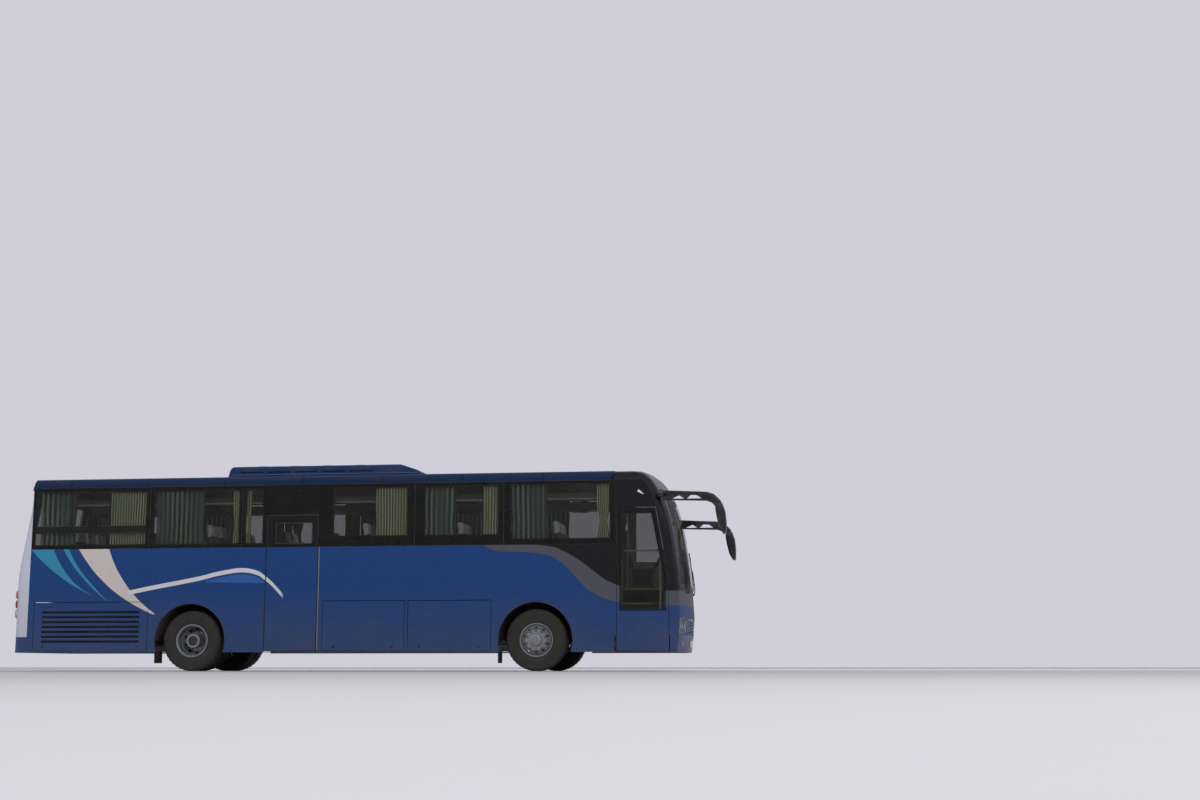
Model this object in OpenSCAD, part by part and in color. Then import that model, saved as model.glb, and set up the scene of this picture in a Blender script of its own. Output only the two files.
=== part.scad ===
/* [Body] */
// length of the body without the mirrors
body_length = 12000; // [11600:50:12400]
// width of the body without the mirrors
body_width = 2550; // [2500:10:2600]
// height of the roof's crown above the road
roof_height = 3420; // [3380:10:3480]
// height of the skirt's lower edge above the road
skirt_height = 320; // [300:10:340]
// thickness of walls, roof, doors and flaps
wall = 50; // [40:2:60]
// radius of the roof's long edges
roof_radius = 170; // [150:5:185]
// radius of the two front corners in plan
front_corner = 180; // [160:5:200]
// radius of the two rear corners in plan
rear_corner = 250; // [220:10:280]
// how far the mirrors stand ahead of the body
mirror_reach = 650; // [600:10:700]

/* [Windows] */
// height of the glass band's lower edge above the road
band_low = 2130; // [2100:10:2160]
// distance from the roof's crown down to the glass band
cant_height = 210; // [200:10:240]
// thickness of the panes
glass = 6; // [5:1:8]
// seam between two panes
seam = 8; // [6:1:12]

/* [Wheels] */
// distance from the rear of the body to the rear axle
rear_overhang = 3300; // [3250:10:3350]
// distance from the front of the body to the front axle
front_overhang = 2600; // [2560:10:2640]
// outer diameter of the tyres
tyre_dia = 1044; // [1000:2:1060]
// width of one tyre
tyre_width = 295; // [275:5:300]
// half of the distance between the outer tyres' middle planes
half_track = 1030; // [1020:5:1040]
// half of the distance between the kingpins
half_kingpin = 900; // [890:5:905]
// radius of the wheel arches
arch_radius = 640; // [630:5:650]

/* [Doors] */
// width of the middle door
mid_door_width = 930; // [900:10:940]
// gap round the doors and flaps
door_gap = 8; // [7:1:10]
// length of the door arms between their pivots
door_arm = 600; // [580:5:610]
// height of the top of the front door
front_door_top = 2740; // [2700:10:2760]
// height of the top of the middle door
mid_door_top = 2690; // [2660:10:2710]

/* [Cabin] */
// height of the passenger floor above the road
floor_height = 1420; // [1400:5:1430]
// pitch of the seat rows
seat_pitch = 838; // [820:2:840]

/* [Fits] */
// radial clearance of a pin or spindle that turns
running = 0.05; // [0.02:0.01:0.08]

/* [Hidden] */
$fn = 48;

half_width = body_width / 2;
band_high = roof_height - cant_height;
crown = 40;
axle_height = tyre_dia / 2;
bow_radius = 5500;

// plan places, measured forward from the rear of the body
cap_front = body_length - 1255;
cap_rear = 300;
rear_axle_at = rear_overhang;
front_axle_at = body_length - front_overhang;
mid_door_at = 4640;
mid_door_end = mid_door_at + mid_door_width;
front_door_at = body_length - 1210;
front_door_end = body_length - 336;
lean_height = 1560;
lean_angle = 10.35;
frame_y = 400;
rail_w = 80;
rail_low = 700;
rail_high = 940;
house_inner = 500;

door_pivot_y = -half_width + wall + 40;
shaft_r = 20;
pin_r = 10;
front_shaft_at = front_door_end - 144;
front_leaf_at = front_shaft_at - door_arm;
mid_shaft_at = mid_door_at + 100;
mid_leaf_at = mid_shaft_at + door_arm;

function at(a) = a - (body_length + mirror_reach) / 2;

// outlines: points run counter-clockwise, one radius for each
function unit(v) = v / norm(v);
function outward(p, q) = unit([q[1] - p[1], p[0] - q[0]]);
function inset(pts, t) = [for (i = [0:len(pts) - 1]) let (
    n = len(pts), b = pts[i],
    n1 = outward(pts[(i + n - 1) % n], b),
    n2 = outward(b, pts[(i + 1) % n]))
    b - t * (n1 + n2) / (1 + n1 * n2)];
function half_angle(a, b, c) = acos(unit(a - b) * unit(c - b)) / 2;
function touch(a, b, c, r) = b + unit(a - b) * r / tan(half_angle(a, b, c));
function middle(a, b, c, r) =
    b + unit(unit(a - b) + unit(c - b)) * r / sin(half_angle(a, b, c));

// the arcs cross their sides at a small angle, because exact tangents don't close
ease = 0.05;
module outline(pts, radii) {
    n = len(pts);
    difference() {
        polygon(pts);
        for (i = [0:n - 1]) if (radii[i] > 0) {
            a = pts[(i + n - 1) % n];
            b = pts[i];
            c = pts[(i + 1) % n];
            difference() {
                polygon([touch(a, b, c, radii[i]), b, touch(c, b, a, radii[i])]);
                translate(middle(a, b, c, radii[i])) circle(radii[i] + ease);
            }
        }
    }
}

module block(x1, x2, y1, y2, z1, z2) {
    translate([x1, y1, z1]) cube([x2 - x1, y2 - y1, z2 - z1]);
}
module along_x(x1, x2) {
    translate([x1, 0, 0]) rotate([90, 0, 90]) linear_extrude(x2 - x1) children();
}
// the outline's first axis runs forward, its second one up
module along_y(y1, y2) {
    translate([0, y2, 0]) rotate([90, 0, 0]) linear_extrude(y2 - y1) children();
}
module upright(x, y, z1, z2, r) {
    translate([x, y, z1]) cylinder(h = z2 - z1, r = r);
}
module across(x, z, y1, y2, r) {
    translate([x, y1, z]) rotate([-90, 0, 0]) cylinder(h = y2 - y1, r = r);
}
module left_if(side) {
    mirror([0, side > 0 ? 1 : 0, 0]) children();
}
// what is drawn on the right is drawn again on the left
module both_sides() {
    children();
    mirror([0, 1, 0]) children();
}

// the body's outer form, t inside its skin
module section(t) {
    w = half_width;
    pts = inset([[-w, skirt_height], [w, skirt_height], [w, roof_height - crown],
        [0, roof_height], [-w, roof_height - crown]], t);
    outline(pts, [0, 0, roof_radius - t, 0, roof_radius - t]);
}
module middle_form(t) {
    along_x(at(cap_rear), at(cap_front)) section(t);
}
// heights above the waist stretch with the roof
waist = 1400;
drawn_roof = 3420;
function lift(z) = z + (roof_height - drawn_roof) * max(0, z - waist) / (drawn_roof - waist);
// the front's sections: height, how far it lies behind the nose
FRONT = [
    [skirt_height - 120, 70], [600, 22], [900, 0], [waist, 28], [lift(1700), 50],
    [lift(1950), 82], [lift(2300), 135], [lift(2620), 196], [lift(2850), 268],
    [lift(3080), 372],
    [roof_height - 210, 458], [roof_height - 125, 535], [roof_height - 63, 618],
    [roof_height - 40, 690], [roof_height, 975]];
// the rear's sections: height, how far it lies ahead of the rearmost line
REAR = [
    [skirt_height - 120, 0], [lift(1600), 0], [lift(1850), 22], [roof_height - 210, 246],
    [roof_height - 125, 278], [roof_height - 63, 330], [roof_height - 40, 390],
    [roof_height, 560]];
nose = body_length - 25;
arc_steps = 6;

// height and place of the skin's middle line, t inside the outer one
function line_inside(rows, t) = let (
    top = rows[len(rows) - 1][0],
    p = inset(concat([[-3000, rows[0][0]]], [for (r = rows) [-r[1], r[0]]],
        [[-3000, top]]), t))
    [for (i = [1:len(rows)]) [p[i][1], p[i][0]]];
// one level of the skin: a bow between two corner arcs, then straight sides
function ring(x, z, h, bow, corner, back) = let (
    y = h - corner,
    axis = x - bow,
    cx = axis + sqrt(pow(bow - corner, 2) - y * y),
    f = asin(y / (bow - corner)))
    concat([[back, -h, z], [back, h, z]],
        [for (i = [-4:4]) [axis + bow * cos(f * i / 4), bow * sin(f * i / 4), z]],
        [for (s = [-1, 1]) for (i = [1:arc_steps]) let (b = f + (90 - f) * i / arc_steps)
            [cx + corner * cos(b), s * (y + corner * sin(b)), z]]);
// end cap of the body as a convex skin, its end at x = 0 and pointing forward
module cap_form(rows, bow, corner, back, t) {
    line = line_inside(rows, t);
    arc_z = roof_height - crown - roof_radius;
    low = [for (p = line) if (p[0] < arc_z) ring(p[1], p[0], half_width - t, bow - t,
        corner - t, back)];
    arc = [for (i = [0:arc_steps - 1]) let (
        b = 90 * i / arc_steps,
        z = arc_z + (roof_radius - t) * sin(b))
        ring(lookup(z, line), z, half_width - roof_radius + (roof_radius - t) * cos(b),
            bow - t, corner - t, back)];
    ridge = [[back, 0, roof_height - t], [lookup(roof_height - t, line), 0, roof_height - t]];
    points = concat([for (r = low) each r], [for (r = arc) each r], ridge);
    hull() polyhedron(points = points, faces = [for (i = [0:len(points) - 3]) [i, i + 1, i + 2]]);
}
module front_form(t) {
    translate([at(nose), 0, 0]) cap_form(FRONT, bow_radius, front_corner,
        cap_front - nose - 20 - (t > 0 ? 1 : 0), t);
}
module rear_form(t) {
    translate([at(0), 0, 0]) rotate([0, 0, 180]) cap_form(REAR, 400000, rear_corner,
        -cap_rear - 260 - (t > 0 ? 1 : 0), t);
}

// doors and flaps
flap_low = 350;
flap_high = 1180;
// how deep the hinge line lies under the skin
flap_depth = 11;
hinge_pin_r = 5;
hinge_pin_out = 12;
flap_post = 70;
bay_end = front_axle_at - arch_radius - 100;
flap_end = bay_end - 30;
bay_start = rear_axle_at + arch_radius + 70;
flap_start = bay_start + 50;
right_start = mid_door_end + 110;
right_middle = (right_start + flap_end) / 2;
left_middle = (flap_start + flap_end) / 2;
// name's place in the row: side, start, end, louvred
FLAPS = [
    [-1, right_start, right_middle - flap_post / 2, false],
    [-1, right_middle + flap_post / 2, flap_end, false],
    [1, flap_start, left_middle - flap_post / 2, false],
    [1, left_middle + flap_post / 2, flap_end, false],
    [-1, 420, 2520, true],
    [1, 420, 2520, true]];

module front_door_outline(gap) {
    top = front_door_top + gap;
    low = skirt_height + 20 - gap;
    front_top = front_door_end - (top - lean_height) * tan(lean_angle);
    polygon([[front_door_at - gap, low], [front_door_end + gap, low],
        [front_door_end + gap, lean_height], [front_top + gap, top],
        [front_door_at - gap, top]]);
}
module front_doorway(gap, y1, y2) {
    translate([at(0), 0, 0]) along_y(y1, y2) front_door_outline(gap);
}
module mid_doorway(gap, y1, y2) {
    block(at(mid_door_at - gap), at(mid_door_end + gap), y1, y2,
        skirt_height + 20 - gap, mid_door_top + gap);
}
module flap_space(f, gap) {
    y1 = -half_width - 1;
    block(at(f[1] - gap), at(f[2] + gap), y1, y1 + wall + 2,
        flap_low - gap, flap_high + gap + flap_depth);
}
module flap_pin(f, more, extra) {
    reach = door_gap + hinge_pin_out + extra;
    translate([at(f[1]) - reach, -half_width + flap_depth, flap_high]) rotate([0, 90, 0])
        cylinder(h = f[2] - f[1] + 2 * reach, r = hinge_pin_r + more);
}
module arch(a, r, y1, y2) {
    across(at(a), axle_height, y1, y2, r);
}

// windows: start, end, low edge above the band, high edge below the band's top
WINDOWS_RIGHT = [
    [340, 2430, 60, 60],
    [2545, 4140, 60, 60],
    [4230, 4570, 60, 60],
    [5820, 7160, 170, 50],
    [7440, 8755, 170, 50],
    [8950, cap_front - 60, 90, 40]];
WINDOWS_LEFT = [
    [340, 2430, 60, 60],
    [2545, 4140, 60, 60],
    [4240, 5620, 60, 60],
    [5820, 7160, 170, 50],
    [7440, 8755, 170, 50],
    [8950, cap_front - 60, 90, 40]];
// seams between panes
PANES_RIGHT = [cap_rear, 2490, 4185, mid_door_at - 16];
PANES_RIGHT_FRONT = [mid_door_end + 16, 7280, 8840, cap_front];
PANES_LEFT = [cap_rear, 2490, 4185, 5700, 7280, 8840, cap_front];

module side_wall(windows, side) {
    difference() {
        block(at(cap_rear), at(cap_front), -half_width, -half_width + wall,
            skirt_height, band_high);
        // the panes lie in this recess
        block(at(cap_rear) - 1, at(cap_front) + 1, -half_width - 1, -half_width + glass,
            band_low, band_high + 1);
        for (w = windows)
            block(at(w[0]), at(w[1]), -half_width, -half_width + wall + 1,
                band_low + w[2], band_high - w[3]);
        for (a = [rear_axle_at, front_axle_at])
            arch(a, arch_radius, -half_width - 1, -half_width + wall + 1);
        for (f = FLAPS) if (f[0] == side) {
            flap_space(f, door_gap);
            flap_pin(f, running, 2);
        }
        if (side < 0) mid_doorway(door_gap, -half_width - 1, -half_width + wall + 1);
    }
}
module side_wall_right() {
    color("royalblue") side_wall(WINDOWS_RIGHT, -1);
}
module side_wall_left() {
    color("royalblue") mirror([0, 1, 0]) side_wall(WINDOWS_LEFT, 1);
}

HATCHES = [2250, body_length - 2750];
hatch_x = 700;
hatch_y = 600;
module roof_panel() {
    color("midnightblue") {
        difference() {
            intersection() {
                difference() {
                    middle_form(0);
                    middle_form_inner(wall);
                }
                block(at(0), at(body_length), -half_width - 1, half_width + 1,
                    band_high, roof_height + 1);
            }
            for (a = HATCHES)
                block(at(a), at(a + hatch_x), -hatch_y / 2, hatch_y / 2,
                    roof_height - 300, roof_height + 10);
        }
        for (a = HATCHES) hatch_lugs(a);
    }
}
module middle_form_inner(t) {
    along_x(at(cap_rear) - 1, at(cap_front) + 1) section(t);
}

// the windscreen's edges
screen_low = 1380;
screen_high = roof_height - 360;
screen_half = half_width - front_corner + 20;
lamp_low = 640;
lamp_high = 860;
bumper_high = 590;
grille_half = 640;
module screen_region(grow) {
    block(at(cap_front + 400), at(body_length + 100), -screen_half - grow,
        screen_half + grow, screen_low - grow, screen_high + grow);
}
module lamp_region(grow) {
    both_sides() block(at(cap_front + 500), at(body_length + 100), -half_width + 130 - grow,
        -half_width + 560 + grow, lamp_low - grow, lamp_high + grow);
}
driver_window = [cap_front + 80, body_length - 640, band_low - 160, band_high - 120];
module driver_glass_region(grow) {
    block(at(driver_window[0] - 40 - grow), at(driver_window[1] + 40 + grow),
        half_width - glass, half_width + 1,
        driver_window[2] - 40 - grow, driver_window[3] + 40 + grow);
}
module front_cap() {
    color("royalblue") difference() {
        intersection() {
            front_form(0);
            block(at(cap_front), at(body_length + 100), -half_width - 1, half_width + 1,
                bumper_high, roof_height + 10);
        }
        front_form(wall);
        // screen opening and the recess its edge lies in
        intersection() {
            screen_region(-40);
            front_form(0);
        }
        difference() {
            screen_region(2);
            front_form(glass + 2);
        }
        difference() {
            lamp_region(2);
            front_form(wall - 5);
        }
        front_doorway(door_gap, -half_width - 5, -half_width + wall + 60);
        difference() {
            for (i = [0:3]) block(at(cap_front + 500), at(body_length + 100), -grille_half,
                grille_half, lamp_low + 10 + i * 52, lamp_low + 44 + i * 52);
            front_form(18);
        }
        driver_glass_region(2);
        block(at(driver_window[0]), at(driver_window[1]), half_width - wall - 5,
            half_width + 1, driver_window[2], driver_window[3]);
    }
}
module windscreen() {
    color("dimgray") intersection() {
        difference() {
            front_form(2);
            front_form(glass + 2);
        }
        screen_region(0);
    }
}
module head_lamps() {
    color("whitesmoke") intersection() {
        difference() {
            front_form(0);
            front_form(wall - 5);
        }
        lamp_region(0);
    }
}

engine_door_half = 900;
engine_door_low = 640;
engine_door_high = 1560;
engine_hinge = engine_door_high - 12;
rear_window = [900, band_low + 60, band_high - 150];
// lamps: half spacing, height, radius
TAIL_LAMPS = [[1090, 1000, 70], [1090, 1170, 70], [1090, 1340, 70]];
module engine_door_region(grow) {
    block(at(-50), at(wall + 100), -engine_door_half - grow, engine_door_half + grow,
        engine_door_low - grow, engine_door_high + grow);
}
module rear_glass_region(grow) {
    block(at(-50), at(cap_rear - 1), -rear_window[0] - grow, rear_window[0] + grow,
        rear_window[1] - grow, rear_window[2] + grow);
}
module rear_cap() {
    color("royalblue") difference() {
        intersection() {
            rear_form(0);
            block(at(-10), at(cap_rear), -half_width - 1, half_width + 1,
                bumper_high, roof_height + 10);
        }
        rear_form(wall);
        engine_door_region(door_gap);
        engine_pin(running, 2);
        rear_glass_region(-40);
        difference() {
            rear_glass_region(2);
            rear_form(glass + 2);
        }
        for (l = TAIL_LAMPS) both_sides()
            translate([at(-20), -l[0], l[1]]) rotate([0, 90, 0])
            cylinder(h = wall + 40, r = l[2]);
    }
}
module bumpers() {
    color("royalblue") {
        difference() {
            intersection() {
                front_form(0);
                union() {
                    block(at(front_door_end + 20), at(body_length + 100), -half_width - 1,
                        half_width + 1, skirt_height, bumper_high);
                    block(at(cap_front), at(body_length), 0, half_width + 1,
                        skirt_height, bumper_high);
                }
            }
            front_form(wall);
        }
        difference() {
            intersection() {
                rear_form(0);
                block(at(-10), at(cap_rear), -half_width - 1, half_width + 1,
                    skirt_height - 1, bumper_high);
            }
            rear_form(wall);
        }
    }
}
module tail_lamps() {
    color("firebrick") for (l = TAIL_LAMPS) both_sides()
        translate([at(0), -l[0], l[1]]) rotate([0, 90, 0])
        cylinder(h = wall, r = l[2]);
}

module pane_row(seams) {
    for (i = [0:len(seams) - 2])
        block(at(seams[i]) + seam / 2, at(seams[i + 1]) - seam / 2,
            -half_width, -half_width + glass, band_low + 2, band_high - 2);
}
module body_glass() {
    color("slategray") {
        pane_row(PANES_RIGHT);
        pane_row(PANES_RIGHT_FRONT);
        block(at(mid_door_at - 16) + seam / 2, at(mid_door_end + 16) - seam / 2,
            -half_width, -half_width + glass, mid_door_top + door_gap + 4, band_high - 2);
        mirror([0, 1, 0]) pane_row(PANES_LEFT);
        block(at(driver_window[0] - 40), at(driver_window[1] + 40), half_width - glass,
            half_width, driver_window[2] - 40, driver_window[3] + 40);
        intersection() {
            difference() {
                rear_form(2);
                rear_form(glass + 2);
            }
            rear_glass_region(0);
        }
    }
}

air_unit_at = [3750, 7300];
air_unit_top = 220;
air_unit_half = 900;
air_fan_r = 230;
AIR_FANS = [4300, 4900, 5500, 6100];
AIR_SLOTS = [3980, 4480, 4980, 5480, 5980];
module air_unit() {
    color("midnightblue") difference() {
        intersection() {
            top = roof_height + air_unit_top;
            low = roof_height - crown - 20;
            translate([at(0), 0, 0]) along_y(-air_unit_half, air_unit_half)
                outline([[air_unit_at[0], low], [air_unit_at[1], low],
                    [air_unit_at[1] - 60, roof_height + 60],
                    [air_unit_at[1] - 520, top], [air_unit_at[0] + 60, top]],
                    [0, 0, 60, 500, 150]);
            along_x(at(air_unit_at[0]) - 1, at(air_unit_at[1]) + 1)
                outline([[-air_unit_half, low], [air_unit_half, low],
                    [air_unit_half - 40, top - 40], [0, top + 10],
                    [-air_unit_half + 40, top - 40]], [0, 0, 110, 0, 110]);
        }
        middle_form(0);
        for (a = AIR_FANS) for (y = [-400, 400])
            upright(at(a), y, roof_height + air_unit_top - 45,
                roof_height + air_unit_top + 20, air_fan_r);
        both_sides() for (a = AIR_SLOTS)
            block(at(a), at(a + 420), -air_unit_half - 1, -air_unit_half + 34,
                roof_height + 62, roof_height + 84);
    }
}

// cross members, none where a step well is
CROSS = [420, 1500, 2600, bay_start - 65, 5640, 7100, front_axle_at - 700,
    front_axle_at + 700, body_length - 1290];
TOW_EYES = [130, body_length - 170];
JACK_PADS = [2450, front_axle_at - 660];
module chassis_frame() {
    color("dimgray") {
        difference() {
            union() {
                both_sides() {
                    block(at(120), at(body_length - 320), -frame_y - rail_w / 2,
                        -frame_y + rail_w / 2, rail_low, rail_high);
                    for (a = CROSS)
                        block(at(a), at(a + 60), -frame_y - 30, -frame_y + 30,
                            rail_high - 1, floor_height - 100);
                }
                for (a = CROSS)
                    block(at(a), at(a + 60), -half_width + wall, half_width - wall,
                        floor_height - 101, floor_height - 40);
                for (a = [180, 2700, 3800, front_axle_at - 700, body_length - 400])
                    block(at(a), at(a + 60), -frame_y, frame_y, rail_low + 60, rail_high - 60);
                // tow eyes
                block(at(body_length - 390), at(body_length - 125), -45, 45, 400, 440);
                block(at(body_length - 400), at(body_length - 340), -30, 30, 400,
                    rail_high - 60);
                block(at(90), at(230), -45, 45, 400, 440);
                block(at(180), at(240), -30, 30, 400, rail_high - 60);
                // jack pads
                for (a = JACK_PADS) both_sides()
                    block(at(a - 60), at(a + 60), -frame_y - 40, -frame_y + 40,
                        rail_low - 20, rail_low + 1);
            }
            for (a = TOW_EYES) upright(at(a), 0, 390, 450, 20);
        }
    }
}

step_rise = (floor_height - skirt_height - 60) / 4;
// step wells: start, end, inner edge
WELLS = [
    [mid_door_at, mid_door_end, 500, mid_shaft_at],
    [front_door_at, front_door_end - 20, frame_y + rail_w / 2 + 10, front_shaft_at]];
module floor_deck() {
    color("gray") {
        difference() {
            block(at(340), at(body_length - 355), -half_width + wall, half_width - wall,
                floor_height - 40, floor_height);
            for (w = WELLS) block(at(w[0]), at(w[1]), -half_width, -w[2],
                floor_height - 50, floor_height + 1);
        }
        for (w = WELLS) difference() {
            tread = (half_width - wall - w[2]) / 4;
            block(at(w[0]), at(w[1]), -half_width + wall + 5, -w[2],
                skirt_height + 20, floor_height - 40);
            for (i = [0:3])
                block(at(w[0] + 30), at(w[1] - 30), -half_width,
                    -half_width + wall + tread * (i + 1),
                    skirt_height + 60 + step_rise * i, floor_height + 1);
            upright(at(w[3]), door_pivot_y, skirt_height, skirt_height + 61,
                pin_r + running);
        }
    }
}
module luggage_bays() {
    color("silver") {
        // floor and bulkheads, clear of the flaps: side, start, end
        for (b = [[-1, mid_door_end + 10, bay_end], [1, bay_start, bay_end]])
            mirror([0, b[0] > 0 ? 1 : 0, 0]) {
                block(at(b[1]), at(b[2]), -half_width + wall + 6, -frame_y - rail_w / 2,
                    440, 460);
                for (a = [b[1], b[2] - 20])
                    block(at(a), at(a + 20), -half_width + wall + 6, -frame_y - rail_w / 2,
                        459, floor_height - 40);
                block(at(b[1]), at(b[2]), -frame_y - rail_w / 2 - 12,
                    -frame_y - rail_w / 2, 459, rail_high);
            }
    }
}
module wheel_houses() {
    color("dimgray") for (a = [rear_axle_at, front_axle_at]) both_sides()
        difference() {
            across(at(a), axle_height, -half_width + wall, -house_inner, arch_radius + 10);
            across(at(a), axle_height, -half_width + wall - 1, -house_inner - 10, arch_radius);
            block(at(a - 700), at(a + 700), -half_width, 0, -300, axle_height);
            block(at(a - 300), at(a + 300), -house_inner - 11, 0, axle_height - 1,
                axle_height + 330);
        }
}
module engine_block() {
    color("darkslategray")
        block(at(480), at(2250), -frame_y + rail_w / 2, frame_y - rail_w / 2, 480,
            floor_height - 270);
}
module fuel_tank() {
    color("silver")
        block(at(front_axle_at + 720), at(body_length - 700), frame_y + rail_w / 2,
            half_width - wall - 40, 480, 1100);
}

// front axle, knuckles and tie rod
kingpin_r = 22;
spindle_r = 38;
arm_back = 170;
arm_in = 0;
arm_z = axle_height - 115;
tie_pin_r = 12;
module front_axle() {
    x = at(front_axle_at);
    color("dimgray") {
        block(x - 45, x + 45, -half_kingpin + 20, half_kingpin - 20,
            axle_height - 65, axle_height + 53);
        both_sides() {
            upright(x, -half_kingpin, axle_height - 65, axle_height + 65, 45);
            upright(x, -half_kingpin, axle_height - 113, axle_height + 113, kingpin_r);
        }
    }
}
module knuckle() {
    x = at(front_axle_at);
    y = -half_kingpin;
    tie_y = y + arm_in;
    color("gray") {
        difference() {
            union() {
                for (z = [-115, 70]) upright(x, y, axle_height + z, axle_height + z + 45, 42);
                block(x - 40, x + 40, y - 85, y - 50, axle_height - 115, axle_height + 115);
                for (z = [-115, 70])
                    block(x - 40, x + 40, y - 60, y, axle_height + z, axle_height + z + 45);
                across(x, axle_height, -half_track - front_hub_out + 30, y - 60, spindle_r);
                // steering arm
                translate([x, y + 20, arm_z + 4]) rotate([0, 0, atan2(arm_in - 20, -arm_back)])
                    translate([0, -18, 0]) cube([norm([arm_back, arm_in - 20]), 36, 24]);
                upright(x - arm_back, tie_y, arm_z, arm_z + 32, 26);
                upright(x - arm_back, tie_y, arm_z - 38, arm_z + 10, tie_pin_r);
            }
            upright(x, y, axle_height - 120, axle_height + 120, kingpin_r + running);
        }
    }
}
module knuckle_right() knuckle();
module knuckle_left() mirror([0, 1, 0]) knuckle();
module tie_rod() {
    x = at(front_axle_at) - arm_back;
    y = half_kingpin - arm_in;
    color("gray") difference() {
        union() {
            across(x, arm_z - 20, -y + 15, y - 15, 16);
            both_sides() upright(x, -y, arm_z - 35, arm_z - 5, 28);
        }
        both_sides() upright(x, -y, arm_z - 40, arm_z, tie_pin_r + running);
    }
}

// wheels
rim_r = 286;
rim_half = 127;
// how far the disc's mounting face lies beside the rim's middle plane
disc_out = 172.5;
twin_gap = 2 * disc_out;
axle_spindle_r = 55;
front_hub_out = 215;
rear_hub_out = 70;
// y is the middle plane
module tyre(y) {
    r = axle_height;
    w = tyre_width / 2;
    // one side's wall: how far inside the tread, how far inside the wall
    wall_line = [[0, 42], [4, 27], [16, 13], [45, 4], [90, 0], [150, 3], [200, 12]];
    translate([0, y, axle_height]) rotate([90, 0, 0]) rotate_extrude($fn = 96)
        polygon(concat([[rim_r, -rim_half + 10]],
            [for (i = [6:-1:0]) [r - wall_line[i][0], -w + wall_line[i][1]]],
            [for (p = wall_line) [r - p[0], w - p[1]]],
            [[rim_r, rim_half - 10]]));
}
// face is 1 where the disc's mounting face looks to the left
module rim(y, face) {
    difference() {
        translate([0, y, axle_height]) rotate([-90 * face, 0, 0])
            rotate_extrude($fn = 96) {
                polygon([[rim_r, -rim_half], [rim_r, -rim_half + 10], [268, -105], [262, -60],
                    [262, 60], [268, 105], [rim_r, rim_half - 10], [rim_r, rim_half],
                    [274, rim_half], [256, 110], [250, 60], [250, -60], [256, -110],
                    [274, -rim_half]]);
                polygon([[252, 60], [252, 90], [240, 112], [178, disc_out], [90, disc_out],
                    [90, disc_out - 14], [172, disc_out - 14], [228, 100], [238, 60]]);
            }
        for (i = [0:9]) translate([0, 0, axle_height]) rotate([0, i * 36, 0])
            translate([0, 0, -axle_height])
            across(0, axle_height + 203, min(y, y + face * 200), max(y, y + face * 200), 27);
    }
}
module front_rim() {
    y = -half_track;
    difference() {
        union() {
            rim(y, -1);
            across(0, axle_height, y - front_hub_out, y - 30, 95);
        }
        across(0, axle_height, y - front_hub_out + 25, y - 29, spindle_r + running);
    }
}
module rear_rim() {
    y = -half_track;
    difference() {
        union() {
            rim(y, 1);
            rim(y + twin_gap, -1);
            across(0, axle_height, y - rear_hub_out, y + twin_gap + 40, 120);
        }
        across(0, axle_height, y - rear_hub_out + 20, y + twin_gap + 41,
            axle_spindle_r + running);
    }
}
module tyre_front_right() color("black") translate([at(front_axle_at), 0, 0])
    tyre(-half_track);
module tyre_front_left() color("black") translate([at(front_axle_at), 0, 0])
    tyre(half_track);
module rim_front_right() color("silver") translate([at(front_axle_at), 0, 0]) front_rim();
module rim_front_left() color("silver") translate([at(front_axle_at), 0, 0])
    mirror([0, 1, 0]) front_rim();
module twin_tyres() {
    tyre(-half_track);
    tyre(-half_track + twin_gap);
}
module tyre_rear_right() color("black") translate([at(rear_axle_at), 0, 0]) twin_tyres();
module tyre_rear_left() color("black") translate([at(rear_axle_at), 0, 0])
    mirror([0, 1, 0]) twin_tyres();
module rim_rear_right() color("silver") translate([at(rear_axle_at), 0, 0]) rear_rim();
module rim_rear_left() color("silver") translate([at(rear_axle_at), 0, 0])
    mirror([0, 1, 0]) rear_rim();

module rear_axle() {
    x = at(rear_axle_at);
    color("dimgray") {
        across(x, axle_height, -half_track - rear_hub_out + 25,
            half_track + rear_hub_out - 25, axle_spindle_r);
        across(x, axle_height, -half_track + twin_gap + 60, half_track - twin_gap - 60, 85);
        translate([x, 0, axle_height]) sphere(190);
        both_sides() block(x - 380, x + 380, -frame_y - 40, -frame_y + 40,
            axle_height - 40, axle_height + 60);
    }
}
// bellows: pinched between its lobes
module bellows(x, z1, z2, r) {
    h = (z2 - z1) / 4;
    translate([x, -frame_y, z1]) rotate_extrude()
        polygon([[0, 0], [r * 0.8, 0], [r, h * 0.5], [r, h * 1.5], [r * 0.8, h * 2],
            [r, h * 2.5], [r, h * 3.5], [r * 0.8, h * 4], [0, h * 4]]);
}
module air_springs() {
    color("black") both_sides() {
        bellows(at(front_axle_at), axle_height + 53, rail_low, 70);
        for (d = [-310, 310])
            bellows(at(rear_axle_at + d), axle_height + 60, rail_low, 100);
    }
}

// mirrors: an arm with a truss, then a hanging head
mirror_root = body_length - 420;
left_mirror_drop = 280;
// outline of arm and head from the side: how far behind the tip, below the roof
MIRROR_ARM = [[325, 435], [200, 475], [85, 590], [70, 720], [150, 720], [240, 620],
    [325, 588]];
MIRROR_HEAD = [[60, 640], [15, 770], [0, 920], [0, 1110], [15, 1148], [50, 1148],
    [110, 1050], [165, 820], [180, 700], [140, 630]];
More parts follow.
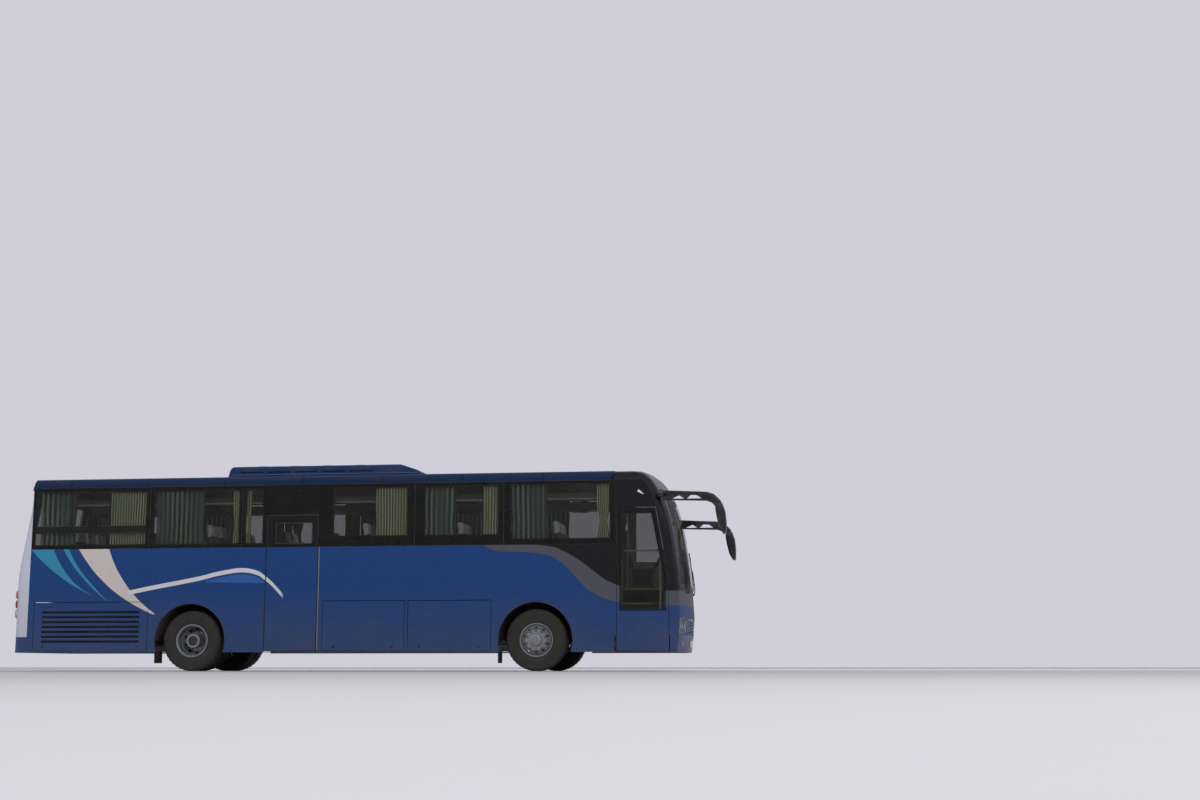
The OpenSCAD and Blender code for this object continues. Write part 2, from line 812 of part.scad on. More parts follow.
// holes in the arm's truss, measured forward from its root
TRUSS = [[[155, 545], [365, 545], [280, 490]],
    [[410, 545], [660, 545], [580, 490], [480, 485]]];
module mirror_arm() {
    tip = body_length + mirror_reach;
    translate([at(0), 0, 0]) along_y(-half_width - 60, -half_width - 20)
        difference() {
            polygon(concat([[mirror_root, roof_height - 567], [mirror_root, roof_height - 400]],
                [for (p = MIRROR_ARM) [tip - p[0], roof_height - p[1]]]));
            for (h = TRUSS) polygon([for (p = h) [mirror_root + p[0], roof_height - p[1]]]);
        }
    translate([at(0), 0, 0]) along_y(-half_width - 130, -half_width + 90)
        polygon([for (p = MIRROR_HEAD) [tip - p[0], roof_height - p[1]]]);
    block(at(mirror_root - 160), at(mirror_root + 80), -half_width - 60, -half_width + 160,
        roof_height - 520, roof_height - 430);
}
module mirrors() {
    color("black") {
        difference() {
            mirror_arm();
            front_form(0);
        }
        difference() {
            translate([0, 0, -left_mirror_drop]) mirror([0, 1, 0]) mirror_arm();
            front_form(0);
        }
    }
}
module wipers() {
    color("black") difference() {
        for (y = [-560, 420])
            block(at(body_length - 160), at(body_length + 2), y, y + 40, screen_low - 70,
                screen_low + 700);
        front_form(0);
    }
}

// seats: rows on the right, rows on the left
first_row = 1981;
front_row = cap_front - 902;
door_row = mid_door_at - 983;
ROWS_RIGHT = [for (a = [door_row:-seat_pitch:first_row - 20]) a];
ROWS_RIGHT_FRONT = [for (a = [front_row:-seat_pitch:mid_door_end + 500]) a];
ROWS_LEFT = [for (a = [first_row:seat_pitch:front_row]) a];
module pair_frame(a) {
    block(at(a), at(a + 420), -half_width + wall + 30, -half_width + wall + 930,
        floor_height + 280, floor_height + 310);
    for (y = [120, 780]) block(at(a + 150), at(a + 250), -half_width + wall + y,
        -half_width + wall + y + 60, floor_height, floor_height + 281);
}
// side view of a seat: squab, then a back that leans, and its headrest
module seat_outline() {
    square([400, 100]);
    translate([400, 50]) circle(50);
    translate([40, 50]) rotate(back_lean) {
        translate([-45, 0]) square([90, back_height]);
        translate([0, back_height]) circle(45);
        translate([10, back_height - 20]) circle(60);
        translate([-50, back_height - 20]) square([120, 120]);
        translate([10, back_height + 100]) circle(60);
    }
}
back_lean = 14;
back_height = 650;
module seats(a, y1, y2) {
    translate([at(a), 0, floor_height + 310]) along_y(y1, y2) seat_outline();
}
module pair_cushion(a) {
    for (y = [40, 490]) seats(a, -half_width + wall + y, -half_width + wall + y + 430);
}
module seat_frames() {
    color("dimgray") {
        for (a = ROWS_RIGHT) pair_frame(a);
        for (a = ROWS_RIGHT_FRONT) pair_frame(a);
        mirror([0, 1, 0]) for (a = ROWS_LEFT) pair_frame(a);
        block(at(730), at(1100), -half_width + wall + 30, half_width - wall - 30,
            floor_height, floor_height + 310);
        block(at(body_length - 1150), at(body_length - 850), 480, 900,
            floor_height, floor_height + 310);
    }
}
module seat_cushions() {
    color("teal") {
        for (a = ROWS_RIGHT) pair_cushion(a);
        for (a = ROWS_RIGHT_FRONT) pair_cushion(a);
        mirror([0, 1, 0]) for (a = ROWS_LEFT) pair_cushion(a);
        for (i = [0:4]) seats(720, -1120 + i * 455, -1120 + i * 455 + 420);
        seats(body_length - 1200, 460, 920);
    }
}
rack_low = band_high - 310;
rack_high = band_high - 160;
rack_gap = 45;
RACK_STAYS = [1690, 2476, 4178, 5660, 7290, 8850];
module luggage_racks() {
    y = -half_width + wall;
    color("gainsboro") both_sides() {
        translate([at(480), 0, 0]) rotate([90, 0, 90]) linear_extrude(cap_front - 580)
            difference() {
                outline([[y + rack_gap, rack_low], [y + 390, rack_low],
                    [y + 410, rack_high], [y + rack_gap, rack_high]], [0, 60, 20, 0]);
                outline([[y + rack_gap - 1, rack_low + 20], [y + 370, rack_low + 20],
                    [y + 380, rack_high + 1], [y + rack_gap - 1, rack_high + 1]],
                    [0, 50, 0, 0]);
            }
        for (a = RACK_STAYS) block(at(a), at(a + 14), y, y + rack_gap + 60,
            rack_low - 5, rack_low + 35);
    }
}
module dashboard() {
    color("dimgray") {
        translate([at(body_length - 560), 0, floor_height])
            along_y(-280, half_width - wall - 205)
            polygon([[60, 0], [270, 0], [285, 440], [278, 480], [215, 526], [170, 530],
                [120, 490], [24, 390], [4, 350]]);
        translate([at(body_length - 640), 690, floor_height + 620]) rotate([0, -60, 0]) {
            rotate_extrude() translate([210, 0]) circle(16);
            cylinder(h = 20, r = 60);
            translate([-12, -205, 0]) cube([24, 410, 14]);
            translate([-30, -32, -300]) cube([60, 64, 310]);
        }
    }
}
module handrails() {
    color("gold") {
        upright(at(front_door_at + 60), -290, floor_height, floor_height + 1000, 18);
        upright(at(mid_door_at - 40), -460, floor_height, floor_height + 1000, 18);
        upright(at(mid_door_end + 40), -460, floor_height, floor_height + 1000, 18);
    }
}
cloth_gap = 0.3;
cloth_depth = 34;
// drawn curtains: start, end
CURTAINS_RIGHT = [[430, 1100], [1730, 2420], [2580, 3470], [4000, 4130], [4245, 4340],
    [6570, 7140], [7450, 8000], [8470, 8730], [8970, 9590], [10440, 10670]];
CURTAINS_LEFT = [[360, 1000], [1750, 2410], [2570, 3300], [3800, 4120], [4260, 4500],
    [5300, 5600], [5840, 6200], [6700, 7140], [7460, 8000], [8470, 8735], [8970, 9590],
    [10440, 10670]];
module curtain_row(rows) {
    for (c = rows)
        block(at(c[0]), at(c[1]), -half_width + wall + cloth_gap,
            -half_width + wall + cloth_gap + cloth_depth, band_low + 15, band_high - 25);
}
module curtains() {
    color("honeydew") {
        curtain_row(CURTAINS_RIGHT);
        mirror([0, 1, 0]) curtain_row(CURTAINS_LEFT);
    }
}

// doors: shaft, leaf pivot, link heights
LINKS = [950, 2000];
module door_arm(shaft, leaf) {
    dir = leaf > shaft ? 1 : -1;
    difference() {
        union() {
            upright(at(shaft), door_pivot_y, skirt_height + 65, 2200, shaft_r);
            upright(at(shaft), door_pivot_y, skirt_height + 25, skirt_height + 66, pin_r);
            for (z = LINKS) {
                block(min(at(shaft), at(leaf)), max(at(shaft), at(leaf)),
                    door_pivot_y - 14, door_pivot_y + 14, z, z + 30);
                upright(at(leaf), door_pivot_y, z, z + 30, 22);
            }
        }
        for (z = LINKS) upright(at(leaf), door_pivot_y, z - 1, z + 31, pin_r + running);
    }
}
module leaf_lugs(leaf) {
    for (z = LINKS) {
        block(at(leaf) - 25, at(leaf) + 25, -half_width + wall - 1, door_pivot_y + 22,
            z + 35, z + 47);
        upright(at(leaf), door_pivot_y, z - 5, z + 36, pin_r);
    }
}
module front_door_arm() color("gray") door_arm(front_shaft_at, front_leaf_at);
module mid_door_arm() color("gray") door_arm(mid_shaft_at, mid_leaf_at);
module front_door() {
    color("royalblue") {
        difference() {
            front_doorway(0, -half_width, -half_width + wall);
            front_glass_hole(-40, -half_width - 1, -half_width + wall + 1);
            front_glass_hole(0, -half_width - 1, -half_width + glass);
        }
        leaf_lugs(front_leaf_at);
    }
}
module front_glass_hole(grow, y1, y2) {
    translate([at(0), 0, 0]) along_y(y1, y2)
        polygon([[front_door_at + 40 - grow, 1000 - grow],
            [front_door_end - 40 + grow, 1000 - grow],
            [front_door_end - 40 + grow, lean_height],
            [front_door_end - 40 + grow - (front_door_top - 60 - lean_height)
                * tan(lean_angle), front_door_top - 60 + grow],
            [front_door_at + 40 - grow, front_door_top - 60 + grow]]);
}
module front_door_glass() {
    color("slategray") front_glass_hole(-2, -half_width, -half_width + glass);
}
module mid_door() {
    color("royalblue") {
        difference() {
            mid_doorway(0, -half_width, -half_width + wall);
            block(at(mid_door_at + 170), at(mid_door_end - 110), -half_width - 1,
                -half_width + wall + 1, band_low + 60, band_low + 420);
            block(at(mid_door_at + 130), at(mid_door_end - 70), -half_width - 1,
                -half_width + glass, band_low + 20, band_low + 460);
        }
        leaf_lugs(mid_leaf_at);
    }
}
module mid_door_glass() {
    color("slategray") block(at(mid_door_at + 132), at(mid_door_end - 72), -half_width,
        -half_width + glass, band_low + 22, band_low + 458);
}

module flap(f) {
    z = flap_high;
    y = -half_width + flap_depth;
    color("royalblue") left_if(f[0]) {
        difference() {
            union() {
                block(at(f[1]), at(f[2]), -half_width, -half_width + wall, flap_low, z);
                translate([at(f[1]), y, z]) rotate([0, 90, 0])
                    cylinder(h = f[2] - f[1], r = flap_depth - 1);
                flap_pin(f, 0, 0);
            }
            if (f[3]) for (i = [0:6])
                block(at(f[1] + 150), at(f[2] - 150), -half_width - 1, -half_width + wall + 1,
                    flap_low + 140 + i * 85, flap_low + 180 + i * 85);
        }
    }
}
module flap_right_rear() flap(FLAPS[0]);
module flap_right_front() flap(FLAPS[1]);
module flap_left_rear() flap(FLAPS[2]);
module flap_left_front() flap(FLAPS[3]);
module side_door_right() flap(FLAPS[4]);
module side_door_left() flap(FLAPS[5]);
module engine_pin(more, extra) {
    reach = engine_door_half + door_gap + hinge_pin_out + extra;
    across(at(flap_depth), engine_hinge, -reach, reach, hinge_pin_r + more);
}
module engine_door() {
    color("royalblue") difference() {
        union() {
            block(at(0), at(wall), -engine_door_half, engine_door_half, engine_door_low,
                engine_hinge);
            across(at(flap_depth), engine_hinge, -engine_door_half, engine_door_half,
                flap_depth - 1);
            engine_pin(0, 0);
        }
        for (i = [0:7])
            block(at(-1), at(wall + 1), -engine_door_half + 200, engine_door_half - 200,
                engine_door_low + 120 + i * 90, engine_door_low + 160 + i * 90);
    }
}
// hatch hinge: lugs on the roof carry the lid's pin
hatch_low = roof_height + 8;
hatch_axis_z = hatch_low + 17;
HATCH_LUGS = [-220, 220];
function hatch_axis(a) = at(a) - 45;
module hatch(a) {
    color("midnightblue") {
        block(at(a - 20), at(a + hatch_x + 20), -hatch_y / 2 - 20, hatch_y / 2 + 20,
            hatch_low, hatch_low + 34);
        for (y = HATCH_LUGS) {
            block(hatch_axis(a), at(a - 19), y - 10, y + 10, hatch_low + 7, hatch_low + 27);
            across(hatch_axis(a), hatch_axis_z, y - 10, y + 10, 10);
            across(hatch_axis(a), hatch_axis_z, y - 28, y + 28, hinge_pin_r);
        }
    }
}
module hatch_lugs(a) {
    difference() {
        for (y = HATCH_LUGS) for (side = [-1, 1])
            block(hatch_axis(a) - 12, hatch_axis(a) + 12, y + side * 22 - 7, y + side * 22 + 7,
                roof_height - 40, hatch_axis_z + 12);
        for (y = HATCH_LUGS)
            across(hatch_axis(a), hatch_axis_z, y - 40, y + 40, hinge_pin_r + running);
    }
}
module hatch_rear() hatch(HATCHES[0]);
module hatch_front() hatch(HATCHES[1]);

chassis_frame();
floor_deck();
luggage_bays();
wheel_houses();
side_wall_right();
side_wall_left();
roof_panel();
front_cap();
rear_cap();
bumpers();
windscreen();
body_glass();
air_unit();
head_lamps();
tail_lamps();
mirrors();
wipers();
engine_block();
fuel_tank();
front_axle();
rear_axle();
air_springs();
seat_frames();
seat_cushions();
luggage_racks();
dashboard();
handrails();
curtains();
knuckle_right();
knuckle_left();
tie_rod();
tyre_front_right();
rim_front_right();
tyre_front_left();
rim_front_left();
tyre_rear_right();
rim_rear_right();
tyre_rear_left();
rim_rear_left();
front_door_arm();
front_door();
front_door_glass();
mid_door_arm();
mid_door();
mid_door_glass();
flap_right_rear();
flap_right_front();
flap_left_rear();
flap_left_front();
side_door_right();
side_door_left();
engine_door();
hatch_rear();
hatch_front();
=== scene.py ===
import math
import bpy
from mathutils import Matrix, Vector


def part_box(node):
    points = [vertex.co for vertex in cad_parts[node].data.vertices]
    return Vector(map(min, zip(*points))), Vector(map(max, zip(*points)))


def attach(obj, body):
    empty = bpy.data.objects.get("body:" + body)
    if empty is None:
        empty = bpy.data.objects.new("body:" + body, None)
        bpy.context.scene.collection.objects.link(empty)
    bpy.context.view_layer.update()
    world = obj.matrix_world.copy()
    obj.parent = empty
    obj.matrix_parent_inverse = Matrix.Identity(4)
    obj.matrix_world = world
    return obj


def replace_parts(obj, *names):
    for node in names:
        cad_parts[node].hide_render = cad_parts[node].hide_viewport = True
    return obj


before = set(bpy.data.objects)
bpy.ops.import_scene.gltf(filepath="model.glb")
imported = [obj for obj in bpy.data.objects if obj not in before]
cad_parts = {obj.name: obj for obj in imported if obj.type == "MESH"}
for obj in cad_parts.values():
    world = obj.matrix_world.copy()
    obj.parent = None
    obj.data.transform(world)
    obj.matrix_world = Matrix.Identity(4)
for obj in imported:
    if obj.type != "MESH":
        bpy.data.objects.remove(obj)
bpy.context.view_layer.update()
print("frame loaded")

coach = {"length": 12.0, "half": 1.275, "wall": 0.05, "reach": 0.65,
         "floor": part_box("floor_deck")[1][2], "axle": 0.522, "rearAxle": 3.3, "frontAxle": 9.4}
rearEnd = -(coach["length"] + coach["reach"]) / 2
sill, axleZ = coach["floor"], coach["axle"]
sides = (("right", -1), ("left", 1))


# ---- shaping

def pick(*chosen):
    bpy.ops.object.select_all(action="DESELECT")
    for each in chosen:
        each.select_set(True)
    bpy.context.view_layer.objects.active = chosen[0]
    return chosen[0]


def settle(piece):
    pick(piece)
    bpy.ops.object.transform_apply(location=True, rotation=True, scale=True)
    return piece


def placed(piece, at, turn=(0, 0, 0), scale=(1, 1, 1)):
    piece.location, piece.scale = at, scale
    piece.rotation_euler = [math.radians(b) for b in turn]
    return settle(piece)


def linked(name, data):
    piece = bpy.data.objects.new(name, data)
    bpy.context.collection.objects.link(piece)
    return piece


def edited(piece, work):
    pick(piece)
    bpy.ops.object.mode_set(mode="EDIT")
    bpy.ops.mesh.select_all(action="SELECT")
    work()
    bpy.ops.object.mode_set(mode="OBJECT")
    return piece


def mergeSeams(piece, reach=0.00005):
    def work():
        bpy.ops.mesh.remove_doubles(threshold=reach)
        bpy.ops.mesh.normals_make_consistent(inside=False)
    return edited(piece, work)


def subdivided(piece, cuts):
    return edited(piece, lambda: bpy.ops.mesh.subdivide(number_cuts=cuts))


def useModifier(piece, kind, **settings):
    pick(piece)
    extra = piece.modifiers.new("step", kind)
    for name, value in settings.items():
        setattr(extra, name, value)
    bpy.ops.object.modifier_apply(modifier=extra.name)
    return piece


def roundEdges(piece, width, segments=2):
    return useModifier(piece, "BEVEL", width=width, segments=segments,
                       limit_method="ANGLE", angle_limit=math.radians(35)) if width else piece


def block(low, high, edge=0.0, segments=2):
    bpy.ops.mesh.primitive_cube_add(size=1, location=[(a + b) / 2 for a, b in zip(low, high)],
                                    scale=[abs(b - a) for a, b in zip(low, high)])
    return roundEdges(settle(bpy.context.object), edge, segments)


def rod(start, end, radius, count=16, tip=None, edge=0.0):
    start, end = Vector(start), Vector(end)
    way = end - start
    bpy.ops.mesh.primitive_cone_add(
        vertices=count, radius1=radius, radius2=radius if tip is None else tip,
        depth=way.length, location=(start + end) / 2,
        rotation=way.to_track_quat("Z", "Y").to_euler())
    return roundEdges(settle(bpy.context.object), edge)


def ring(centre, way, radius, thick, count=32, across=8):
    bpy.ops.mesh.primitive_torus_add(
        major_segments=count, minor_segments=across, major_radius=radius,
        minor_radius=thick, location=centre,
        rotation=Vector(way).to_track_quat("Z", "Y").to_euler())
    return settle(bpy.context.object)


def asMesh(piece):
    pick(piece)
    bpy.ops.object.convert(target="MESH")
    return bpy.context.object


def pipe(points, radius, across=3, closed=False, smooth=True):
    line = bpy.data.curves.new("line", "CURVE")
    line.dimensions = "3D"
    line.bevel_depth = radius
    line.bevel_resolution = across
    line.use_fill_caps = not closed
    run = line.splines.new("BEZIER" if smooth else "POLY")
    if smooth:
        line.resolution_u = 6
        run.bezier_points.add(len(points) - 1)
        for knot, place in zip(run.bezier_points, points):
            knot.co = place
            knot.handle_left_type = knot.handle_right_type = "AUTO"
    else:
        run.points.add(len(points) - 1)
        for knot, place in zip(run.points, points):
            knot.co = (*place, 1)
    run.use_cyclic_u = closed
    return asMesh(linked("pipe", line))


# outlines are lists of (x, z), the first one outside, the others holes; at is the middle's y
def plate(outlines, depth, edge=0.0, at=0.0):
    flat = bpy.data.curves.new("plate", "CURVE")
    flat.dimensions = "2D"
    flat.fill_mode = "BOTH"
    flat.extrude = max(depth / 2 - edge, 0)
    flat.bevel_depth = edge
    flat.bevel_resolution = 1 if edge else 0
    flat.offset = -edge
    for outline in outlines:
        run = flat.splines.new("POLY")
        run.points.add(len(outline) - 1)
        for knot, (u, v) in zip(run.points, outline):
            knot.co = (u, v, 0, 1)
        run.use_cyclic_u = True
    piece = linked("plate", flat)
    piece.rotation_euler, piece.location = (math.pi / 2, 0, 0), (0, at, 0)
    return mergeSeams(settle(asMesh(piece)))


def roundedBox(u1, u2, v1, v2, corner):
    points = []
    for u, v, start in ((u2 - corner, v1 + corner, 270), (u2 - corner, v2 - corner, 0),
                        (u1 + corner, v2 - corner, 90), (u1 + corner, v1 + corner, 180)):
        for i in range(6):
            b = math.radians(start + 18 * i)
            points.append((u + corner * math.cos(b), v + corner * math.sin(b)))
    return points


# a flat rim: its box, outer corner, width, inner corner, depth and the middle's y
def rim(u1, u2, v1, v2, corner, wide, inner, depth, at):
    return plate([roundedBox(u1, u2, v1, v2, corner),
                  roundedBox(u1 + wide, u2 - wide, v1 + wide, v2 - wide, inner)],
                 depth, 0.0, at)


# a profile of (radius, along) pairs spun round an axis along y
def spun(profile, centre=(0, 0, 0), steps=48, closed=False):
    count = len(profile)
    line = bpy.data.meshes.new("profile")
    line.from_pydata([(0, along, radius) for radius, along in profile],
                     [(i, (i + 1) % count) for i in range(count if closed else count - 1)], [])
    piece = edited(linked("spun", line), lambda: bpy.ops.mesh.spin(
        steps=steps, angle=2 * math.pi, center=(0, 0, 0), axis=(0, 1, 0)))
    return placed(mergeSeams(piece), centre)


def join(parts):
    pick(*parts)
    if len(parts) > 1:
        bpy.ops.object.join()
    return bpy.context.object


def copyOf(piece):
    twin = piece.copy()
    twin.data = piece.data.copy()
    bpy.context.collection.objects.link(twin)
    return twin


def otherSide(piece):
    twin = copyOf(piece)
    twin.scale = (1, -1, 1)
    return mergeSeams(settle(twin))


def bothSides(parts):
    piece = join(parts)
    return join([piece, otherSide(piece)])


# joins the parts, moves them into the shared frame, paints them and hangs them on a body
def finish(parts, name, paint, body="coach", smooth=35, start=rearEnd):
    piece = join(parts) if isinstance(parts, list) else parts
    piece.location.x += start
    settle(piece)
    piece.name = piece.data.name = name
    piece.data.materials.clear()
    piece.data.materials.append(paint)
    bpy.ops.object.shade_smooth_by_angle(angle=math.radians(smooth))
    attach(piece, body)
    return piece


# ---- the skin's own curves, as in the solids: (height, how far in)

noseRows = [(0.2, 0.07), (0.6, 0.022), (0.9, 0.0), (1.4, 0.028), (1.7, 0.05),
            (1.95, 0.082), (2.3, 0.135), (2.62, 0.196), (2.85, 0.268), (3.08, 0.372),
            (3.21, 0.458), (3.295, 0.535), (3.357, 0.618), (3.38, 0.69), (3.42, 0.975)]
tailRows = [(0.2, 0.0), (1.6, 0.0), (1.85, 0.022), (3.21, 0.246), (3.295, 0.278),
            (3.357, 0.33), (3.38, 0.39), (3.42, 0.56)]


def along(rows, z):
    if z <= rows[0][0]:
        return rows[0][1]
    for (z1, a), (z2, b) in zip(rows, rows[1:]):
        if z <= z2:
            return a + (b - a) * (z - z1) / (z2 - z1)
    return rows[-1][1]


def noseX(y, z):
    bow, corner = 5.5, 0.18
    front = coach["length"] - 0.025 - along(noseRows, z)
    straight = coach["half"] - corner
    if abs(y) <= straight:
        return front - bow + math.sqrt(bow * bow - y * y)
    centre = front - bow + math.sqrt((bow - corner) ** 2 - straight ** 2)
    return centre + math.sqrt(max(corner ** 2 - (abs(y) - straight) ** 2, 0))


# the raked tail's skin, in under the roof's rounded edge too
def tailX(y, z):
    corner, rake = 0.25, along(tailRows, z)
    if z > 3.38:
        return rake
    rise = max((z - 3.21) / 0.17, 0)
    width = 1.105 + 0.17 * math.sqrt(max(1 - rise * rise, 0))
    over = min(max(abs(y) - (width - corner), 0), corner)
    return rake + corner - math.sqrt(corner ** 2 - over * over)


# moves a piece drawn at x = 0 onto the nose or the tail
def wrapped(piece, skin):
    for vertex in piece.data.vertices:
        vertex.co.x += skin(vertex.co.y, vertex.co.z)
    return piece


def spread(start, end, steps):
    return [start + (end - start) * i / steps for i in range(steps + 1)]


# rubber round a screen: flat and upright reach, foot and top, the uprights' ends, steps
def screenRubber(skin, off, flat, upright, foot, top, low, high, across, up, thick):
    line = ([(y, foot) for y in spread(-flat, flat, across)]
            + [(upright, z) for z in spread(low, high, up)]
            + [(y, top) for y in spread(flat, -flat, across)]
            + [(-upright, z) for z in spread(high, low, up)])
    return pipe([(skin(y, z) + off, y, z) for y, z in line], thick, 1, True, False)


# ---- finishes: one class for a value in a shader, one for the shader

class Value:
    def __init__(self, paint, socket):
        self.paint, self.socket = paint, socket

    def calc(self, operation, *values, **settings):
        return self.paint.node("ShaderNodeMath", {"operation": operation, **settings},
                               dict(enumerate(values)))

    def __add__(self, other):
        return self.calc("ADD", self, other)

    def __radd__(self, other):
        return self.calc("ADD", other, self)

    def __sub__(self, other):
        return self.calc("SUBTRACT", self, other)

    def __rsub__(self, other):
        return self.calc("SUBTRACT", other, self)

    def __mul__(self, other):
        return self.calc("MULTIPLY", self, other)

    def __rmul__(self, other):
        return self.calc("MULTIPLY", other, self)

    def __truediv__(self, other):
        return self.calc("DIVIDE", self, other)

    # 0 below the edge, 1 above it, soft is how wide the step is
    def above(self, edge, soft=0.004):
        return self.calc("MULTIPLY_ADD", self - edge, 1 / soft, 0.5, use_clamp=True)

    def below(self, edge, soft=0.004):
        return 1 - self.above(edge, soft)

    def between(self, low, high, soft=0.004):
        return self.above(low, soft) * self.below(high, soft)

    def size(self):
        return self.calc("ABSOLUTE", self)

    def wave(self, length):
        return self.calc("SINE", self * (2 * math.pi / length)) * 0.5 + 0.5


def tone(r, g, b):
    def linear(v):
        v /= 255
        return v / 12.92 if v <= 0.04045 else ((v + 0.055) / 1.055) ** 2.4
    return (linear(r), linear(g), linear(b), 1)


def scaled(shade, by, plus=0.0):
    return tuple(min(c * by + plus, 1) for c in shade[:3]) + (1,)


class Paint:
    def __init__(self, name, **constants):
        self.material = bpy.data.materials.new(name)
        self.material.use_nodes = True
        self.tree = self.material.node_tree
        self.shader = self.tree.nodes["Principled BSDF"]
        for socket, value in constants.items():
            self.shader.inputs[socket.replace("_", " ")].default_value = value
        self.where = self.tree.nodes.new("ShaderNodeTexCoord")

    def feed(self, socket, value):
        if isinstance(value, Value):
            self.tree.links.new(value.socket, socket)
        else:
            socket.default_value = value

    def set(self, socket, value):
        self.feed(self.shader.inputs[socket], value)

    def node(self, kind, settings, sockets, output=0):
        made = self.tree.nodes.new(kind)
        for name, value in settings.items():
            setattr(made, name, value)
        for name, value in sockets.items():
            self.feed(made.inputs[name], value)
        return Value(self, made.outputs[output])

    # "Object" gives the place in the shared frame, "Normal" the way that the surface faces
    def split(self, output="Object"):
        parts = self.tree.nodes.new("ShaderNodeSeparateXYZ")
        self.tree.links.new(self.where.outputs[output], parts.inputs[0])
        return [Value(self, out) for out in parts.outputs]

    def spot(self, stretch=(1, 1, 1)):
        return self.node("ShaderNodeVectorMath", {"operation": "MULTIPLY"},
                         {0: Value(self, self.where.outputs["Object"]), 1: stretch})

    def cloud(self, scale, detail=3.0, rough=0.55, stretch=(1, 1, 1)):
        return self.node("ShaderNodeTexNoise", {},
                         {"Vector": self.spot(stretch), "Scale": scale,
                          "Detail": detail, "Roughness": rough})

    def cells(self, scale):
        return self.node("ShaderNodeTexVoronoi", {}, {"Vector": self.spot(), "Scale": scale})

    def mix(self, share, a, b):
        return self.node("ShaderNodeMix", {"data_type": "RGBA"}, {0: share, 6: a, 7: b}, 2)

    # a smooth line through (place, height) points
    def line(self, value, points):
        low, reach = points[0][0], points[-1][0] - points[0][0]
        heights = [h for _, h in points]
        base, span = min(heights), max(heights) - min(heights)
        share = value.calc("MULTIPLY_ADD", value, 1 / reach, -low / reach, use_clamp=True)
        bend = self.node("ShaderNodeFloatCurve", {}, {1: share})
        mapping = bend.socket.node.mapping
        knots = mapping.curves[0].points
        while len(knots) < len(points):
            knots.new(0.5, 0.5)
        for knot, (p, h) in zip(knots, points):
            knot.location = ((p - low) / reach, (h - base) / span)
        mapping.update()
        return bend * span + base

    def done(self, colour, rough, height, depth, strength=0.5):
        self.set("Base Color", colour)
        self.set("Roughness", rough)
        self.set("Normal", self.node("ShaderNodeBump", {}, {
            "Height": height, "Distance": depth, "Strength": strength}))
        return self.material


# colours, all as they look on the coach; the grey is a grey-cream swoosh with painted shade
shades = {
    "blue": tone(20, 58, 112), "paleBlue": tone(44, 86, 150), "navy": tone(16, 36, 68),
    "teal": tone(49, 126, 156), "cream": tone(190, 180, 176), "white": tone(196, 193, 196),
    "grey": tone(74, 74, 84), "black": tone(20, 18, 19), "silver": tone(182, 184, 198),
    "dust": tone(104, 96, 86), "trim": tone(150, 148, 140)}
# the side's swooshes by their two edges, (height above the road, from the rear)
swooshes = [
    ("teal", [(1.32, 1.46), (1.50, 1.10), (1.729, 0.755), (1.92, 0.52), (2.13, 0.30)],
     [(1.32, 1.47), (1.50, 1.18), (1.729, 0.962), (1.92, 0.83), (2.13, 0.725)]),
    ("teal", [(1.22, 1.75), (1.45, 1.47), (1.779, 1.149), (1.95, 1.02), (2.13, 0.905)],
     [(1.22, 1.76), (1.45, 1.52), (1.779, 1.224), (1.95, 1.11), (2.13, 1.010)]),
    ("cream", [(0.98, 2.60), (1.30, 2.00), (1.628, 1.598), (1.86, 1.39), (2.13, 1.195)],
     [(0.98, 2.66), (1.30, 2.27), (1.628, 2.007), (1.86, 1.87), (2.13, 1.758)])]
# the thin white arch and the two edges of the grey swoosh, whose grey is painted shade on
# grey-cream: (from the rear, height)
archLine = [(2.00, 1.36), (2.49, 1.46), (3.41, 1.628), (3.90, 1.735), (4.232, 1.771),
            (4.45, 1.735), (4.614, 1.645), (4.85, 1.44), (5.10, 1.12)]
greyTop = [(8.40, 2.16), (9.30, 2.125), (9.484, 2.115), (9.692, 2.086), (9.881, 2.014),
           (10.062, 1.913), (10.225, 1.804), (10.42, 1.655), (10.65, 1.50), (10.95, 1.395),
           (11.40, 1.345), (12.0, 1.34)]
greyLow = [(8.40, 2.19), (8.511, 2.115), (8.65, 2.048), (8.807, 2.022), (9.346, 1.997),
           (9.605, 1.947), (9.83, 1.829), (9.95, 1.729), (10.15, 1.51), (10.40, 1.30),
           (10.75, 1.165), (11.2, 1.105), (12.0, 1.10)]


